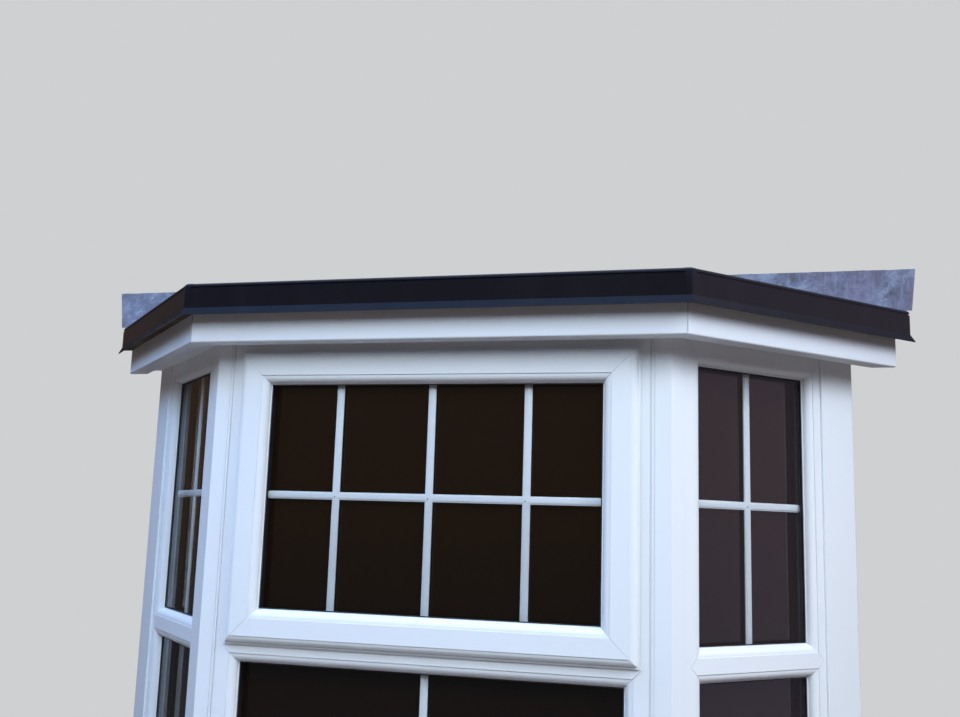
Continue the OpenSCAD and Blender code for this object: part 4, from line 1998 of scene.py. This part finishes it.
@dataclass(frozen=True)
class Lamp:
    """A square soft light that nothing mirrors.

    Attributes:
        name: Name of the light.
        place: Place of its middle.
        aim: Point that it faces on the plane of the front frames, as x and z.
        size: Width of the square.
        power: Power in watts.
        tint: Colour of the light.
        spread: Width of its beam, in degrees.
    """

    name: str
    place: tuple[float, float, float]
    aim: Point
    size: float
    power: float
    tint: Colour
    spread: float = 60.0

    def hang(self, face_y: float) -> None:
        """Hangs the lamp.

        Args:
            face_y: Place of the front frame's face.
        """
        data = bpy.data.lights.new(self.name, "AREA")
        data.shape, data.size, data.energy, data.color = "SQUARE", self.size, self.power, self.tint
        data.spread = math.radians(self.spread)
        lamp = bpy.data.objects.new(self.name, data)
        lamp.visible_glossy = False
        bpy.context.scene.collection.objects.link(lamp)
        x, z = self.aim
        ray = Vector((x, face_y, z)) - Vector(self.place)
        turn = ray.to_track_quat("-Z", "Y").to_matrix().to_4x4()
        lamp.matrix_world = Matrix.Translation(self.place) @ turn


@dataclass
class Studio:
    """Floor, lights and camera.

    Attributes:
        plan: Plan of the bay.
        eye: Place of the camera in front of the frame's face and above the ground.
        yaw: Turn to the left, in degrees.
        pitch: Tilt upwards, in degrees.
        roll: Turn about the line of sight, in degrees.
        focal: Focal length, in millimetres.
        sensor: Width of the sensor, in millimetres.
        clip: Nearest and farthest distance that the camera sees.
        floor_radius: Radius of the floor.
        lamps: The soft lights.
        backdrop: Colour behind the part.
        dome_strength: Brightness of the dome that lights the part.
        dome_stops: Colours of that dome by height, as the sine of the elevation.
        mirror_low: Colours that glossy surfaces mirror, by height in the same way.
        mirror_right: Colours added to those towards the right.
        mirror_sky: Colours of the sky added to those, by height.
        mirror_ahead: Share of that sky by the direction's part along Y.
        mirror_over: Colours added high up over the house, by height.
        mirror_behind: Share of those by the direction's part along Y.
    """

    plan: BayPlan
    eye: tuple[float, float, float] = (0.6525, -2.080, 1.6477)
    yaw: float = 14.704
    pitch: float = 9.411
    roll: float = 1.777
    focal: float = 38.2275
    sensor: float = 36.0
    clip: Point = (0.05, 60)
    floor_radius: float = 3.6
    lamps: tuple[Lamp, ...] = (
        Lamp("sky_panel", (0.3, -2.95, 4.25), (0, 2.0), 2.6, 24.8, (0.69, 0.835, 1.0)),
        Lamp("right_panel", (3.0, -1.35, 3.7), (0.5, 1.2), 1.8, 15.4, (0.76, 0.85, 1.0)),
        Lamp("left_panel", (-2.1, -1.5, 4.7), (-0.5, 1.2), 1.8, 17.2, (0.23, 0.49, 1.0)),
    )
    backdrop: Colour = (0.62, 0.63, 0.64)
    dome_strength: float = 0.80
    dome_stops: Stops = (
        (-0.08, (0.105, 0.10, 0.12)),
        (0.02, (0.036, 0.029, 0.027)),
        (0.30, (0.057, 0.060, 0.068)),
        (0.60, (0.40, 0.305, 0.19)),
        (1.0, (0.54, 0.37, 0.19)),
    )
    mirror_low: Stops = (
        (-0.30, (0.06, 0.06, 0.065)),
        (-0.12, (0.035, 0.035, 0.04)),
        (0.0, (0.07, 0.045, 0.03)),
        (0.12, (0.09, 0.055, 0.035)),
        (0.35, (0.05, 0.05, 0.06)),
        (0.70, (0.06, 0.07, 0.09)),
    )
    mirror_right: Stops = ((0.5, BLACK), (1.0, (0.25, 0.20, 0.28)))
    mirror_sky: Stops = (
        (0.35, BLACK),
        (0.60, (0.05, 0.13, 0.36)),
        (0.85, (0.07, 0.25, 0.72)),
        (1.0, (0.20, 0.42, 0.95)),
    )
    mirror_ahead: Stops = ((-0.05, WHITE), (0.30, BLACK))
    mirror_over: Stops = ((0.68, BLACK), (0.86, (0.88, 0.79, 0.73)), (1.0, (0.96, 0.86, 0.80)))
    mirror_behind: Stops = ((-0.25, BLACK), (0.05, WHITE))

    def camera(self) -> None:
        """Puts the camera where the photograph was taken from."""
        data = bpy.data.cameras.new("photo_camera")
        data.sensor_width, data.lens = self.sensor, self.focal
        data.clip_start, data.clip_end = self.clip
        yaw, pitch, roll = (math.radians(v) for v in (self.yaw, self.pitch, self.roll))
        flat = math.cos(pitch)
        ahead = Vector((-math.sin(yaw) * flat, math.cos(yaw) * flat, math.sin(pitch)))
        level = Vector((math.cos(yaw), math.sin(yaw), 0))
        above = level.cross(ahead)
        right = math.cos(roll) * level + math.sin(roll) * above
        up = -math.sin(roll) * level + math.cos(roll) * above
        camera = bpy.data.objects.new("photo_camera", data)
        bpy.context.scene.collection.objects.link(camera)
        x, y, z = self.eye
        turn = Matrix((right, up, -ahead)).transposed().to_4x4()
        camera.matrix_world = Matrix.Translation((x, self.plan.face_y + y, z)) @ turn
        bpy.context.scene.camera = camera

    def sky(self) -> None:
        """Makes a soft dome and a plain pale background, with its own sky for reflections."""
        world = bpy.data.worlds.new("studio_dome")
        bpy.context.scene.world = world
        bench = NodeBench(world)
        path = bench.add("ShaderNodeLightPath").outputs
        seen = self.shade(bench, {"Z": self.dome_stops}, self.dome_strength)
        mirrored = self.shade(bench, {"Z": self.mirror_low})
        for layers in (
            {"X": self.mirror_right},
            {"Z": self.mirror_sky, "Y": self.mirror_ahead},
            {"Z": self.mirror_over, "Y": self.mirror_behind},
        ):
            both = {0: mirrored, 1: self.shade(bench, layers)}
            mirrored = bench.add("ShaderNodeAddShader", both).outputs[0]
        plain = bench.add("ShaderNodeBackground", {"Color": self.backdrop}).outputs[0]
        for ray, shade in (("Is Glossy Ray", mirrored), ("Is Camera Ray", plain)):
            choice = {"Fac": path[ray], 1: seen, 2: shade}
            seen = bench.add("ShaderNodeMixShader", choice).outputs[0]
        bench.add("ShaderNodeOutputWorld", {"Surface": seen})

    @staticmethod
    def shade(bench: NodeBench, layers: dict[str, Stops], strength: float = 1.0) -> Socket:
        """Adds a background whose colour changes with the direction.

        Args:
            bench: The world's nodes.
            layers: Colours by the direction's part along each named axis, multiplied together.
            strength: Brightness of the background.

        Returns:
            The background.
        """
        parts = bench.parts(bench.add("ShaderNodeTexCoord").outputs["Generated"])
        colour = None
        for axis, stops in layers.items():
            share = bench.add("ShaderNodeMapRange", {"Value": parts[axis], "From Min": -1})
            shifted = [((part + 1) / 2, tone) for part, tone in stops]
            tones = bench.ramp(share.outputs["Result"], *shifted)
            colour = bench.mix(1, colour, tones, "MULTIPLY") if colour else tones
        inputs = {"Color": colour, "Strength": strength}
        return bench.add("ShaderNodeBackground", inputs).outputs[0]

    def floor(self) -> None:
        """Lays the studio floor."""
        Bench.clear()
        bpy.ops.mesh.primitive_circle_add(vertices=128, radius=self.floor_radius, fill_type="NGON")
        ground = Bench.named("studio_floor")
        ground.data.materials.append(FloorFinish("studio_floor").build())
        ground.visible_glossy = False

    def build(self) -> None:
        """Makes the whole studio."""
        self.camera()
        self.sky()
        self.floor()
        for lamp in self.lamps:
            lamp.hang(self.plan.face_y)
        bpy.context.scene.view_settings.view_transform = "Standard"


def main() -> None:
    """Builds the studio and the pieces in order."""
    bpy.context.tool_settings.mesh_select_mode = (False, False, True)
    noise.seed_set(PATTERN_SEED)
    plan = BayPlan.read()
    Studio(plan).build()
    finishes = Finishes()
    Joinery(finishes).dress()
    DwarfWall(plan, finishes).build()
    Glazing(plan, finishes).build()
    LeadFlashing(plan, finishes).build()
    EavesCorners(finishes, plan).build()


if __name__ == "__main__":
    main()
